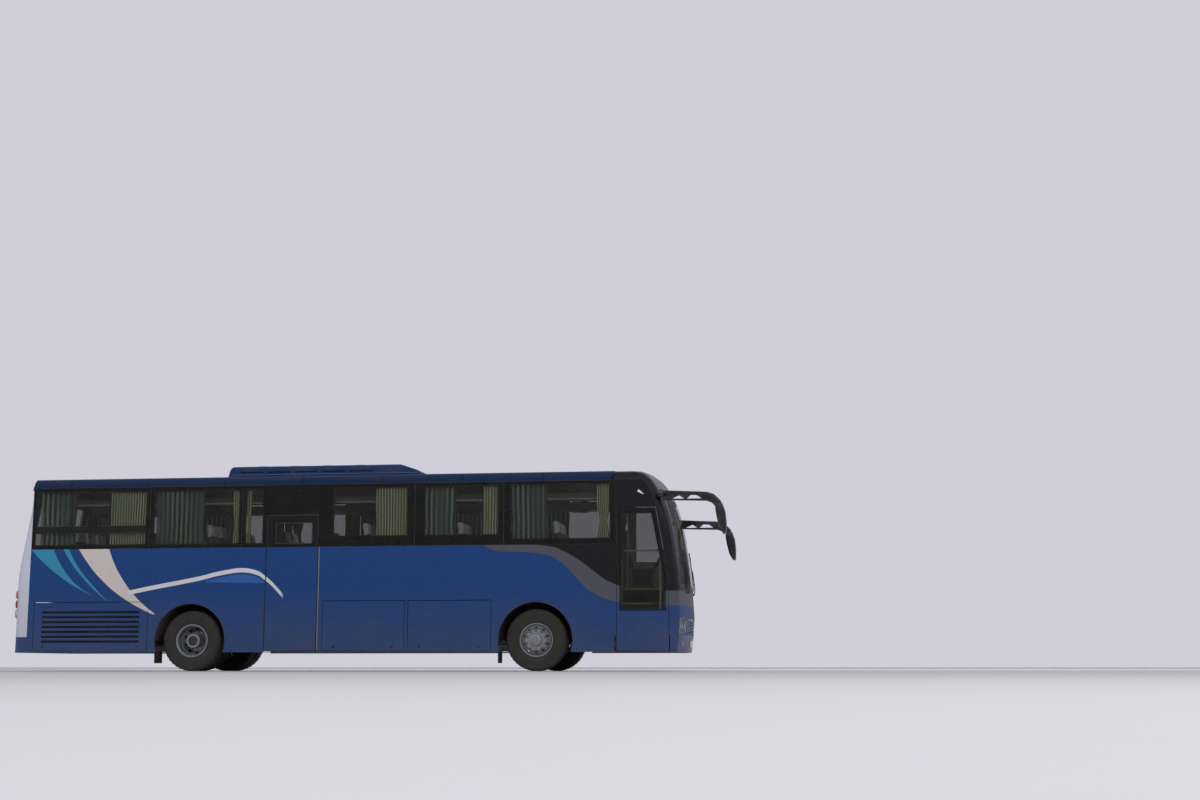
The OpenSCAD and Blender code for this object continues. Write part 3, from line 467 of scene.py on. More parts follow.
def livery(name, kind="side"):
    paint = Paint(name, Coat_Roughness=0.06, Specular_IOR_Level=0.3)
    x, y, z = paint.split()
    rear = x - rearEnd
    # darker towards the bottom: the blue fades a quarter of the way into navy
    colour = paint.mix(z.below(1.0, 1.2) * 0.25, shades["blue"], shades["navy"])
    for shade, low, high in swooshes:
        band = (rear.above(paint.line(z, low)) * rear.below(paint.line(z, high))
                * z.above(low[0][0], 0.02))
        colour = paint.mix(band, colour, shades[shade])
    top = paint.line(rear, archLine)
    lens = z.below(top - 0.11) * z.above(1.52 - (rear - 4.1) * 0.02) * rear.between(3.55, 4.62)
    colour = paint.mix(lens, colour, shades["paleBlue"])
    arch = z.below(top) * z.above(top - 0.075) * rear.between(2.15, 4.95, 0.05)
    colour = paint.mix(arch, colour, shades["white"])
    ahead = rear.above(8.45)
    # ahead: the swoosh in grey, painted shade on its grey-cream paint, then black above it
    for edge, shade in ((greyLow, "grey"), (greyTop, "black")):
        colour = paint.mix(z.above(paint.line(rear, edge)) * ahead, colour, shades[shade])
    if kind == "side":
        colour = paint.mix(z.above(2.128), colour, shades["black"])
    elif kind == "tail":
        corner = y.size().above(1.045) * z.above(0.59)
        colour = paint.mix(z.above(2.15) * y.size().below(0.98), colour, shades["black"])
        colour = paint.mix(z.above(3.215), colour, shades["navy"])
        colour = paint.mix(corner * z.below(3.18), colour, shades["silver"])
    dirt = paint.cloud(1.3, 6, 0.62, (1, 1, 1.6)) * z.below(0.9, 1.1)
    speck = paint.cloud(38, 4, 0.7)
    colour = paint.mix(dirt * 0.34, colour, shades["dust"])
    colour = paint.mix(speck.above(0.66, 0.2) * z.below(1.2, 1.2) * 0.35, colour, shades["dust"])
    inner = (paint.split("Normal")[1] * y).below(-0.3, 0.02)
    colour = paint.mix(inner * y.size().below(1.2262, 0.0004), colour, shades["trim"])
    paint.set("Coat Weight", 0.22 - dirt * 0.2)
    return paint.done(colour, 0.24 + dirt * 0.3 + paint.cloud(5, 5) * 0.06,
                      paint.cloud(2.2, 2) + paint.cloud(420, 2) * 0.02, 0.0012, 0.25)


def plainPaint(name, shade, rough=0.35, dirty=0.25, grain=60.0, coat=0.0, deep=0.0004,
               specular=0.5):
    paint = Paint(name, Coat_Roughness=0.1, Coat_Weight=coat, Specular_IOR_Level=specular)
    patch, fine = paint.cloud(2.6, 6, 0.6), paint.cloud(grain, 4, 0.65)
    colour = paint.mix(fine, scaled(shade, 0.72), scaled(shade, 1.25, 0.01))
    colour = paint.mix(patch.above(0.55, 0.3) * dirty, colour, shades["dust"])
    return paint.done(colour, rough + patch * 0.16 - 0.08 + fine * 0.08, fine + patch, deep)


def roofPaint():
    paint = Paint("roofPaint", Coat_Roughness=0.2, Specular_IOR_Level=0.14)
    x, y, z = paint.split()
    ny, nz = paint.split("Normal")[1:]
    inner = (ny * y + nz * (z - 2.4)).below(-0.08, 0.02)
    seams = x.wave(1.42).above(0.9985, 0.002)
    dust = paint.cloud(1.1, 7, 0.6) * nz.above(0.5, 0.5)
    front = (x - rearEnd - 10.62).above((z - 3.2) * 0.9, 0.006) * z.below(3.36, 0.05)
    colour = paint.mix(dust * 0.13, shades["navy"], shades["dust"])
    colour = paint.mix(seams * 0.6, colour, shades["black"])
    colour = paint.mix(front, colour, shades["black"])
    colour = paint.mix(inner, colour, shades["trim"])
    paint.set("Coat Weight", 0.05 - inner * 0.05)
    return paint.done(colour, 0.42 + dust * 0.3 + inner * 0.2, paint.cloud(1.6, 2) - seams,
                      0.002, 0.3)


# tinted glass; border, if any, gives the black edge of a pane
def tintedGlass(name, shade, alpha, rough=0.03, border=None):
    paint = Paint(name, Specular_IOR_Level=0.42)
    haze, streak = paint.cloud(3.2, 5, 0.6), paint.cloud(2.5, 4, 0.6, (1, 1, 0.25))
    colour = paint.mix(haze * 0.25, shade, shades["dust"])
    cover = alpha + (haze - 0.5) * 0.05 + streak * 0.03
    if border:
        edge = border(*paint.split())
        colour = paint.mix(edge, colour, shades["black"])
        cover = cover + edge * (1 - alpha)
    paint.set("Alpha", cover)
    return paint.done(colour, rough + haze * 0.03, paint.cloud(0.7, 1), 0.004, 0.15)


def screenBorder(x, y, z):
    side = y.size().above(0.99, 0.02)
    return ((side + z.above(2.93, 0.02) * (1 - side) + z.below(1.47, 0.02) * (1 - side))
            * x.above(rearEnd + 11.0))


def rubber(name, shade=tone(30, 30, 31), rough=0.72):
    paint = Paint(name)
    patch = paint.cloud(6, 5, 0.65)
    colour = paint.mix(patch.above(0.5, 0.4) * 0.35, shade, shades["dust"])
    return paint.done(colour, rough + patch * 0.15, paint.cloud(180, 3), 0.0006, 0.6)


def tyreRubber():
    paint = Paint("tyreRubber")
    wall = paint.split("Normal")[1].size().above(0.6, 0.4)
    dust = paint.cloud(9, 6, 0.66)
    colour = paint.mix(dust * 0.55 * wall, tone(27, 27, 28), tone(78, 72, 64))
    colour = paint.mix((1 - wall) * dust * 0.6, colour, tone(84, 80, 74))
    return paint.done(colour, 0.72 + dust * 0.16, paint.cloud(260, 3) + dust, 0.0007)


def brushed(name, shade, rough=0.32, grain=(4, 4, 90), metal=1.0):
    paint = Paint(name)
    lines, stain = paint.cloud(30, 4, 0.6, grain), paint.cloud(4, 6, 0.62)
    spots = stain.above(0.56, 0.25)
    colour = paint.mix(lines, scaled(shade, 0.8), shade)
    paint.set("Metallic", metal - spots * 0.35)
    return paint.done(paint.mix(spots * 0.3, colour, shades["dust"]),
                      rough + stain * 0.15 + lines * 0.06, lines, 0.0002, 0.4)


# woven cloth: two crossed sets of threads
def woven(name, shade, second, pitch=0.004, stripes=None):
    paint = Paint(name, Sheen_Weight=0.3, Sheen_Roughness=0.5)
    x, y, z = paint.split()
    threads = (x + z * 0.35).wave(pitch) * (y + z).wave(pitch)
    wear = paint.cloud(7, 5, 0.6)
    colour = paint.mix(threads, shade, second)
    if stripes:
        colour = paint.mix(y.wave(stripes).above(0.82, 0.1), colour, tone(30, 58, 96))
    colour = paint.mix(wear.above(0.5, 0.4) * 0.25, colour, shades["dust"])
    return paint.done(colour, 0.82 + wear * 0.1, threads + wear * 0.6, 0.0006, 0.6)


def lampColour(name, shade):
    paint = Paint(name, Coat_Weight=1.0, Coat_Roughness=0.03)
    cells = paint.cells(260)
    colour = paint.mix(cells * 0.7, shade, scaled(shade, 0.6))
    return paint.done(colour, 0.08 + paint.cloud(9, 3) * 0.06, cells, 0.0008, 0.6)


def tailLampColour():
    paint = Paint("tailLampColour", Coat_Weight=1.0, Coat_Roughness=0.03)
    z, cells = paint.split()[2], paint.cells(230)
    colour = paint.mix(z.above(1.255, 0.002), tone(150, 14, 16), tone(206, 104, 18))
    colour = paint.mix(z.below(1.085, 0.002), colour, tone(196, 190, 186))
    colour = paint.mix(cells * 0.35, colour, shades["black"])
    return paint.done(colour, 0.1 + paint.cloud(8, 3) * 0.05, cells, 0.001, 0.6)


def vinylFloor():
    paint = Paint("vinylFloor")
    speck = paint.cells(170)
    walk = paint.split()[1].size().below(0.3, 0.1) * paint.cloud(3, 4)
    colour = paint.mix(speck.below(0.25, 0.1), tone(86, 90, 98), tone(140, 140, 142))
    colour = paint.mix(walk * 0.5, colour, shades["dust"])
    colour = paint.mix(paint.split("Normal")[2].above(0.5, 0.1), tone(46, 46, 48), colour)
    return paint.done(colour, 0.5 + walk * 0.2, speck, 0.0005, 0.4)


def underside(name, shade, rust=0.35, rough=0.6):
    paint = Paint(name)
    patch, spots = paint.cloud(2.2, 7, 0.65), paint.cloud(22, 5, 0.7)
    colour = paint.mix(spots, shade, scaled(shade, 1.7))
    colour = paint.mix(patch.above(0.52, 0.2) * 0.6, colour, shades["dust"])
    colour = paint.mix(spots.above(0.62, 0.1) * rust, colour, tone(98, 58, 36))
    paint.set("Metallic", 0.35 - spots.above(0.6, 0.15) * 0.3)
    return paint.done(colour, rough + patch * 0.2, spots + patch, 0.0015)


# ---- camera and studio

view = {"lens": 50.4, "eye": (8.145, -29.475, 0.07), "aim": (-0.1392, 0.9903), "rise": 9.03}
lamps = (((16, -30, 16), 14, 5200, (0, 0, 1.5)), ((-24, -16, 14), 12, 2600, (-2, 0, 1.5)),
         ((18, 24, 18), 16, 5200, (0, 0, 2)), ((-8, 22, 16), 14, 2600, (0, 0, 2)))
# what glossy surfaces see of the sky, by height
sky = ((0.0, tone(96, 98, 104)), (0.10, tone(128, 134, 146)), (0.45, tone(214, 218, 228)),
       (0.9, tone(150, 158, 174)))


def setCamera():
    bpy.ops.object.camera_add(location=view["eye"])
    camera = bpy.context.object
    camera.data.lens = view["lens"]
    camera.data.sensor_width = 36
    camera.data.clip_end = 900
    aim = Vector((*view["aim"], 0)).normalized()
    aim.z = math.tan(math.radians(view["rise"]))
    camera.rotation_euler = aim.to_track_quat("-Z", "Y").to_euler()
    bpy.context.scene.camera = camera


def setStudio():
    bpy.ops.mesh.primitive_plane_add(size=700, location=(0, 0, 0))
    floor = bpy.context.object
    floor.name = "studioFloor"
    paint = Paint("studioFloor", Roughness=0.9)
    x, y = paint.split()[:2]
    near = paint.mix(paint.cloud(0.6, 3) * 0.12, tone(172, 170, 172), tone(160, 158, 160))
    far = (x * x + y * y) / 3600
    paint.set("Base Color", paint.mix(far.above(0.55, 0.9), near, tone(240, 238, 242)))
    floor.data.materials.append(paint.material)
    for place, size, power, aim in lamps:
        bpy.ops.object.light_add(type="AREA", location=place)
        lamp = bpy.context.object
        lamp.data.size, lamp.data.energy = size, power
        lamp.visible_glossy = False
        lamp.rotation_euler = (Vector(aim) - Vector(place)).to_track_quat("-Z", "Y").to_euler()


# the world: what lights the coach, what glossy surfaces see and what the camera sees
def setWorld():
    world = bpy.data.worlds.new("studio")
    bpy.context.scene.world = world
    world.use_nodes = True
    nodes, links = world.node_tree.nodes, world.node_tree.links
    lit = nodes["Background"]
    lit.inputs["Color"].default_value = (0.78, 0.80, 0.86, 1)
    lit.inputs["Strength"].default_value = 0.62
    seen, mirrored, way, split, ramp, path, either, mix, last = [
        nodes.new("ShaderNode" + kind) for kind in (
            "Background", "Background", "TexCoord", "SeparateXYZ", "ValToRGB", "LightPath",
            "Math", "MixShader", "MixShader")]
    seen.inputs["Color"].default_value = tone(208, 206, 216)
    while len(ramp.color_ramp.elements) < len(sky):
        ramp.color_ramp.elements.new(0.5)
    for stop, (place, colour) in zip(ramp.color_ramp.elements, sky):
        stop.position, stop.color = place, colour
    either.operation = "MAXIMUM"
    for start, end in (
            (way.outputs["Generated"], split.inputs[0]),
            (split.outputs["Z"], ramp.inputs["Fac"]),
            (ramp.outputs["Color"], mirrored.inputs["Color"]),
            (path.outputs["Is Camera Ray"], either.inputs[0]),
            (path.outputs["Is Transmission Ray"], either.inputs[1]),
            (either.outputs[0], last.inputs[0]), (path.outputs["Is Glossy Ray"], mix.inputs[0]),
            (lit.outputs[0], mix.inputs[1]), (mirrored.outputs[0], mix.inputs[2]),
            (mix.outputs[0], last.inputs[1]), (seen.outputs[0], last.inputs[2]),
            (last.outputs[0], nodes["World Output"].inputs["Surface"])):
        links.new(start, end)
    bpy.context.scene.view_settings.view_transform = "Standard"


setCamera()
setStudio()
setWorld()
print("camera and studio set")


# ---- the solids' own finishes

bodyPaint = livery("bodyPaint")
nosePaint = livery("nosePaint", "nose")
tailPaint = livery("tailPaint", "tail")
roofBlue = roofPaint()
sideGlass = tintedGlass("sideGlass", tone(13, 20, 18), 0.38)
screenGlass = tintedGlass("screenGlass", tone(18, 24, 26), 0.2, border=screenBorder)
blackGloss = plainPaint("blackGloss", tone(22, 20, 21), 0.16, dirty=0.15, coat=0.5,
                        deep=0.0001, specular=0.35)
blackPlastic = plainPaint("blackPlastic", tone(31, 30, 31), 0.5, dirty=0.2, grain=300)
steelFrame = underside("steelFrame", tone(52, 52, 54))
castIron = underside("castIron", tone(44, 44, 45), rust=0.6, rough=0.7)
baySheet = brushed("baySheet", tone(150, 152, 156), 0.42, (2, 40, 2))
houseCoat = underside("houseCoat", tone(34, 34, 35), rust=0.1, rough=0.85)
rimMetal = brushed("rimMetal", tone(168, 170, 174), 0.36, (60, 4, 60), 0.85)
tankMetal = brushed("tankMetal", tone(172, 174, 178), 0.34, (3, 3, 60))
seatMetal = plainPaint("seatMetal", tone(60, 62, 66), 0.4, dirty=0.1)
rackPlastic = plainPaint("rackPlastic", tone(176, 176, 168), 0.5, dirty=0.12, grain=120)
dashPlastic = plainPaint("dashPlastic", tone(46, 47, 50), 0.6, dirty=0.15, grain=420,
                         deep=0.0008)
railSteel = brushed("railSteel", tone(196, 198, 200), 0.22, (3, 3, 50))
armPaint = plainPaint("armPaint", tone(168, 170, 174), 0.38, dirty=0.2)
bellowsRubber = rubber("bellowsRubber")
sealRubber = rubber("sealRubber", tone(24, 24, 25), 0.6)
clearLens = tintedGlass("clearLens", tone(206, 212, 218), 0.16, 0.02)
tailLens = tailLampColour()
treadRubber = tyreRubber()
floorVinyl = vinylFloor()
hatchPaint = plainPaint("hatchPaint", tone(17, 42, 80), 0.48, dirty=0.13, specular=0.16)

# the first row that starts a node's name gives its finish
solidPaints = (
    ("front_door_arm", armPaint), ("mid_door_arm", armPaint), ("front_door_glass", sideGlass),
    ("mid_door_glass", sideGlass), ("front_door", bodyPaint), ("mid_door", bodyPaint),
    ("side_", bodyPaint), ("flap", bodyPaint), ("roof_panel", roofBlue),
    ("front_cap", nosePaint), ("bumpers", nosePaint), ("rear_cap", tailPaint),
    ("engine_door", tailPaint), ("windscreen", screenGlass), ("body_glass", sideGlass),
    ("chassis_frame", steelFrame), ("floor_deck", floorVinyl), ("luggage_bays", baySheet),
    ("wheel_houses", houseCoat), ("hatch", hatchPaint), ("air_unit", hatchPaint),
    ("air_springs", bellowsRubber), ("head_lamps", clearLens), ("tail_lamps", tailLens),
    ("mirrors", blackPlastic), ("wipers", blackPlastic), ("fuel_tank", tankMetal),
    ("engine_block", castIron), ("front_axle", castIron), ("rear_axle", castIron),
    ("knuckle", castIron), ("tie_rod", railSteel), ("handrails", railSteel),
    ("luggage_racks", rackPlastic), ("dashboard", dashPlastic), ("rim", rimMetal),
    ("tyre", treadRubber), ("", seatMetal))
for name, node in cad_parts.items():
    for slot in node.material_slots:
        slot.material = next(paint for start, paint in solidPaints if name.startswith(start))


# the rounded skins again as one smooth surface each, in place of the solids' facets
for solid, name, paint in (("front_cap", "nose_skin", nosePaint),
                           ("rear_cap", "tail_skin", tailPaint),
                           ("bumpers", "bumper_skins", nosePaint),
                           ("windscreen", "screen_pane", screenGlass),
                           ("roof_panel", "roof_skin", roofBlue)):
    skin = mergeSeams(copyOf(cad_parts[solid]), 0.0002)
    finish(skin, name, paint, smooth=30, start=0)
    useModifier(skin, "WEIGHTED_NORMAL", keep_sharp=True)
    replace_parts(skin, solid)
print("solids painted")


# ---- tyres: grooves run round, notches cut the shoulders, the walls carry ribs

axles = (("front", coach["frontAxle"]), ("rear", coach["rearAxle"]))
tyre = {"radius": 0.522, "half": 0.1475, "groove": 0.011, "notch": 0.009, "shoulder": 0.079,
        "cut": 0.03, "tread": 0.02, "zigzag": 0.003, "steps": 160, "every": 4, "twin": 0.345,
        "track": 1.03}


def tyreProfile():
    wall = [(0.236, -0.030), (0.200, -0.012), (0.150, -0.004), (0.124, -0.0035),
            (0.121, -0.001), (0.112, -0.001), (0.109, -0.003), (0.090, 0.0), (0.060, -0.0025),
            (0.045, -0.004), (0.016, -0.013), (0.004, -0.027), (0.0, -0.042)]
    left = [(tyre["radius"] - inward, -tyre["half"] - side) for inward, side in wall]
    tread = [(tyre["radius"] - deep * tyre["groove"], centre + side)
             for centre in (-0.074, -0.026, 0.026, 0.074)
             for side, deep in ((-0.0065, 0), (-0.0045, 1), (0.0045, 1), (0.0065, 0))]
    return left + tread + [(r, -a) for r, a in reversed(left)]


def tyreAt(x, y):
    piece = spun(tyreProfile(), steps=tyre["steps"], closed=True)
    radius, step = tyre["radius"], 2 * math.pi / tyre["steps"]
    for vertex in piece.data.vertices:
        place = vertex.co
        reach, off = math.hypot(place.x, place.z), abs(place.y)
        turn = round(math.atan2(place.z, place.x) / step) % tyre["every"]
        if reach > radius - tyre["cut"] and off > tyre["shoulder"] and turn == 0:
            share = (reach - tyre["notch"]) / reach
            place.x, place.z = place.x * share, place.z * share
        elif reach > radius - tyre["tread"] and off < tyre["shoulder"]:
            place.y += tyre["zigzag"] if turn < 2 else -tyre["zigzag"]
    return placed(piece, (x, y, axleZ))


for end, at in axles:
    for side, sign in sides:
        rings = [tyreAt(at, sign * (tyre["track"] - i * tyre["twin"]))
                 for i in range(2 if end == "rear" else 1)]
        where = "_" + end + "_" + side
        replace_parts(finish(rings, "tread" + where, treadRubber, "wheel" + where),
                    "tyre" + where)
print("tyres turned")


# ---- wheels: nuts, studs, caps, valves

# each end's wheel face, hub end and valve, by how far out they are
wheel = {"nuts": 10, "ring": 0.1675, "nut": 0.019, "front": (1.2025, 1.245, 1.186),
         "rear": (0.8715, 1.10, 1.10)}
nutSteel = brushed("nutSteel", tone(150, 150, 152), 0.3, (20, 20, 20))
capSteel = brushed("capSteel", tone(186, 188, 192), 0.24, (30, 2, 30))


# a rod along y, out from the side
def pin(x, z, sign, start, end, radius, count, **shape):
    return rod((x, sign * start, z), (x, sign * end, z), radius, count, **shape)


def aroundHub(x, reach, count, first=0):
    return [(x + reach * math.cos(b), axleZ + reach * math.sin(b))
            for b in [math.radians(first + 360 / count * i) for i in range(count)]]


for side, sign in sides:
    for end, x in axles:
        face, hub, valve = wheel[end]
        where, nuts = "_" + end + "_" + side, []
        for u, v in aroundHub(x, wheel["ring"], wheel["nuts"], 18):
            nuts += [pin(u, v, sign, face - 0.002, face + 0.005, 0.021, 14),
                     pin(u, v, sign, face + 0.004, face + 0.026, wheel["nut"], 6,
                         tip=wheel["nut"] * 0.9),
                     pin(u, v, sign, face + 0.02, face + 0.034, 0.0105, 10)]
        finish(nuts, "nuts" + where, nutSteel, "wheel" + where)
        if end == "front":
            cap = spun([(0.0, -0.022), (0.03, -0.022), (0.034, -0.012), (0.062, -0.010),
                        (0.068, -0.004), (0.088, -0.001), (0.096, 0.006), (0.0985, 0.03),
                        (0.0985, 0.038), (0.0, 0.038)], steps=40)
            cap = mergeSeams(placed(cap, (x, sign * hub, axleZ), scale=(1, -sign, 1)))
            lip = ring((x, sign * (face + 0.001), axleZ), (0, 1, 0), 0.103, 0.005, 40, 6)
            finish([cap, lip], "hub_cap" + where, capSteel, "wheel" + where)
        else:
            flange = [pin(x, axleZ, sign, hub - 0.004, hub + 0.006, 0.085, 36, edge=0.002)]
            flange += [pin(u, v, sign, hub + 0.004, hub + 0.016, 0.0085, 6)
                       for u, v in aroundHub(x, 0.072, 8)]
            finish(flange, "hub_flange" + where, castIron, "wheel" + where)
        stem = pipe([(x + 0.238, sign * (valve - 0.04), axleZ),
                     (x + 0.236, sign * (valve - 0.015), axleZ),
                     (x + 0.226, sign * valve, axleZ)], 0.004, 2)
        tip = rod((x + 0.228, sign * valve, axleZ), (x + 0.214, sign * (valve + 0.003), axleZ),
                  0.0055, 8)
        finish([stem, tip], "valve" + where, nutSteel, "wheel" + where)
print("wheels dressed")


# ---- seats: one squab and one back filled as cloth, then set in every place

seat = {"pitch": 0.838, "first": 1.981, "doorRow": 3.657, "frontRow": 9.843, "lean": 14,
        "foot": (0.04, 0.05), "under": 0.31, "fill": 4.0, "grain": 0.012, "keep": 0.12,
        "most": 0.011, "seam": 0.013}
lean = math.radians(seat["lean"])


def filled(piece):
    useModifier(piece, "REMESH", mode="VOXEL", voxel_size=seat["grain"])
    pick(piece)
    before = [vertex.co.copy() for vertex in piece.data.vertices]
    cloth = piece.modifiers.new("filling", "CLOTH")
    cloth.settings.quality = 5
    cloth.settings.use_pressure = True
    cloth.settings.uniform_pressure_force = seat["fill"]
    cloth.settings.effector_weights.gravity = 0
    for step in range(1, 21):
        bpy.context.scene.frame_set(step)
    bpy.ops.object.modifier_apply(modifier="filling")
    bpy.context.scene.frame_set(1)
    for vertex, old in zip(piece.data.vertices, before):
        move = vertex.co - old
        if move.length > seat["most"]:
            vertex.co = old + move * (seat["most"] / move.length)
    return piece


def held(piece, low, high):
    for vertex in piece.data.vertices:
        vertex.co = [min(max(a, b), c) for a, b, c in zip(vertex.co, low, high)]
    return piece


# how far a stitched seam draws the cloth in, at a distance from it
def seam(off, deep):
    return deep * max(0, 1 - (off / seat["seam"]) ** 2)


def seatSquab():
    outline = [(0.02, 0.012), (0.40, 0.012), (0.438, 0.030), (0.442, 0.066), (0.415, 0.090),
               (0.30, 0.082), (0.16, 0.080), (0.03, 0.086), (0.014, 0.05)]
    piece = filled(plate([outline], 0.404, 0.012))
    for vertex in piece.data.vertices:
        x, y, z = vertex.co
        if z > 0.06:
            vertex.co.z -= 0.010 * max(0, 1 - abs(y / 0.12) ** 4)
            vertex.co.z -= seam(abs(y) - 0.135, 0.008)
            vertex.co.z -= seam(x - 0.30, 0.006)
    return held(piece, (0.0, -0.214, 0.001), (0.45, 0.214, 0.1))


def seatBack():
    outline = [(-0.032, 0.03), (0.026, 0.03), (0.036, 0.14), (0.030, 0.34), (0.032, 0.54),
               (0.050, 0.645), (0.056, 0.72), (0.040, 0.782), (0.0, 0.796), (-0.034, 0.77),
               (-0.036, 0.62), (-0.033, 0.30)]
    piece = plate([outline], 0.404, 0.012)
    useModifier(piece, "REMESH", mode="VOXEL", voxel_size=0.02)
    for vertex in piece.data.vertices:
        share = min(max((vertex.co.z - 0.585) / 0.07, 0), 1)
        vertex.co.y *= 1 - 0.24 * share * share * (3 - 2 * share)
    filled(piece)
    for vertex in piece.data.vertices:
        x, y, z = vertex.co
        if x > 0.01:
            vertex.co.x -= seam(abs(y) - 0.128, 0.008) * (z < 0.58)
            for height in (0.22, 0.40, 0.595):
                vertex.co.x -= seam(z - height, 0.007)
    held(piece, (-0.044, -0.214, 0.0), (0.068, 0.214, 0.806))
    x, z = seat["foot"]
    return placed(piece, (x, 0, z), (0, -seat["lean"], 0))


pairs = (0.97, 0.52)
places = {
    "right_rear": [(seat["doorRow"] - i * seat["pitch"], -y) for i in range(3) for y in pairs],
    "right_front": [(seat["frontRow"] - i * seat["pitch"], -y) for i in range(5) for y in pairs],
    "left": [(seat["first"] + i * seat["pitch"], y) for i in range(10) for y in pairs],
    "bench": [(0.72, -0.91 + 0.455 * i) for i in range(5)], "driver": [(10.8, 0.69)]}
seatWidths = {"bench": 0.975, "driver": 1.06}
seatCloth = woven("seatCloth", tone(52, 66, 92), tone(84, 98, 122), stripes=0.055)
oneSquab, oneBack = seatSquab(), seatBack()
oneSeat = useModifier(join([oneSquab, oneBack]), "DECIMATE", ratio=seat["keep"])


def atSeat(piece, x, y, group=""):
    return placed(piece, (x, y, sill + seat["under"]), scale=(1, seatWidths.get(group, 1), 1))


for group, rows in places.items():
    cushions = finish([atSeat(copyOf(oneSeat), x, y, group) for x, y in rows],
                      "seats_" + group, seatCloth, smooth=50)
    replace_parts(cushions, "seat_cushions")
print("seats filled and set")


# ---- seat fittings: back shells, handles, armrests

# a place on the leaning back, u forward and v up along it
def leaned(u, v):
    x, z = seat["foot"]
    return (x + u * math.cos(lean) - v * math.sin(lean),
            z + u * math.sin(lean) + v * math.cos(lean))


def seatFitting(aisle, near):
    x, z = leaned(-0.0505, 0.06)
    parts = [placed(block((-0.006, -0.19, 0), (0, 0.19, 0.50), 0.0025, 1), (x, 0, z),
                    (0, -seat["lean"], 0))]
    grip = []
    for u, v, out in ((-0.02, 0.64, 1), (0.0, 0.70, 1.12), (0.0, 0.76, 0.98)):
        x, z = leaned(u, v)
        grip.append((x, aisle * 0.175 * out, z))
    parts.append(pipe(grip, 0.009, 1))
    if near:
        (x, z), y = leaned(0.0, 0.235), aisle * 0.226
        parts.append(block((x - 0.02, y - 0.012, z - 0.02), (x + 0.30, y + 0.012, z + 0.02),
                           0.009))
    return join(parts)


seatPlastic = plainPaint("seatPlastic", tone(40, 42, 46), 0.45, dirty=0.1, grain=300)
for group in ("right_rear", "right_front", "left"):
    finish([atSeat(seatFitting(-1 if y > 0 else 1, abs(y) < 0.7), x, y)
            for x, y in places[group]], "seat_fittings_" + group, seatPlastic)
print("seat fittings placed")


# ---- headrest covers, each a sheet cut and sewn to pull over its headrest

cover = {"low": 0.572, "hem": 0.014, "thick": 0.0015, "clear": 0.004, "flat": (0.80, 0.25)}


def coverCap():
    def upBack(place):
        x, z = seat["foot"]
        return (place[2] - z) * math.cos(lean) - (place[0] - x) * math.sin(lean)

    piece = pick(copyOf(oneSeat))
    bpy.ops.object.mode_set(mode="EDIT")
    bpy.ops.mesh.select_mode(type="FACE")
    bpy.ops.mesh.select_all(action="DESELECT")
    bpy.ops.object.mode_set(mode="OBJECT")
    for face in piece.data.polygons:
        face.select = upBack(face.center) < cover["low"]
    bpy.ops.object.mode_set(mode="EDIT")
    bpy.ops.mesh.delete(type="FACE")
    bpy.ops.object.mode_set(mode="OBJECT")
    moves = [vertex.normal * cover["clear"] for vertex in piece.data.vertices]
    for vertex, move in zip(piece.data.vertices, moves):
        vertex.co += move
        up = upBack(vertex.co)
        if up < cover["low"] + cover["hem"]:
            hem = cover["low"] + 0.002 * math.sin(31 * vertex.co.y) - up
            vertex.co.x -= hem * math.sin(lean)
            vertex.co.z += hem * math.cos(lean)
    mergeSeams(piece, 0.0004)
    return useModifier(piece, "SOLIDIFY", thickness=cover["thick"], offset=1)


coverCloth = woven("coverCloth", tone(232, 232, 230), tone(214, 216, 218), 0.003)
oneCover = coverCap()
heads = [(group, x, y) for group, rows in places.items() if group != "driver" for x, y in rows]
for number, (group, x, y) in enumerate(heads, 1):
    sheet = finish(atSeat(copyOf(oneCover), x, y, group), "headrest_cover_%02d" % number,
                   coverCloth, smooth=60)
    "seats_" + group
for used in (oneCover, oneSeat):
    bpy.data.objects.remove(used)
print("headrest covers pulled on", len(heads))


# ---- curtains on rails inside the windows, drawn back in pleats

curtain = {"face": 1.2077, "swing": 0.0125, "thick": 0.002, "low": 2.150, "high": 3.180,
           "pleat": 0.062, "rows": 10, "rail": 3.1925, "knot": 2.52}
# from, to, kind: w hangs wide, b is bunched, t is tied in the middle
drawn = {"right": [(0.43, 1.10, "w"), (1.73, 2.42, "b"), (2.58, 3.47, "w"), (4.00, 4.13, "t"),
                   (4.245, 4.34, "t"), (6.57, 7.14, "b"), (7.45, 8.00, "w"), (8.47, 8.73, "b"),
                   (8.97, 9.59, "w"), (10.44, 10.67, "t")],
         "left": [(0.36, 1.00, "w"), (1.75, 2.41, "b"), (2.57, 3.30, "w"), (3.80, 4.12, "b"),
                  (4.26, 4.50, "t"), (5.30, 5.60, "b"), (5.84, 6.20, "t"), (6.70, 7.14, "w"),
                  (7.46, 8.00, "w"), (8.47, 8.735, "b"), (8.97, 9.59, "w"),
                  (10.44, 10.67, "t")]}


# a sheet through rows of points
def surface(rows):
    count = len(rows[0])
    mesh = bpy.data.meshes.new("surface")
    mesh.from_pydata([point for row in rows for point in row], [],
                     [(a, a + 1, a + count + 1, a + count) for k in range(len(rows) - 1)
                      for a in range(k * count, (k + 1) * count - 1)])
    return mergeSeams(linked("surface", mesh))


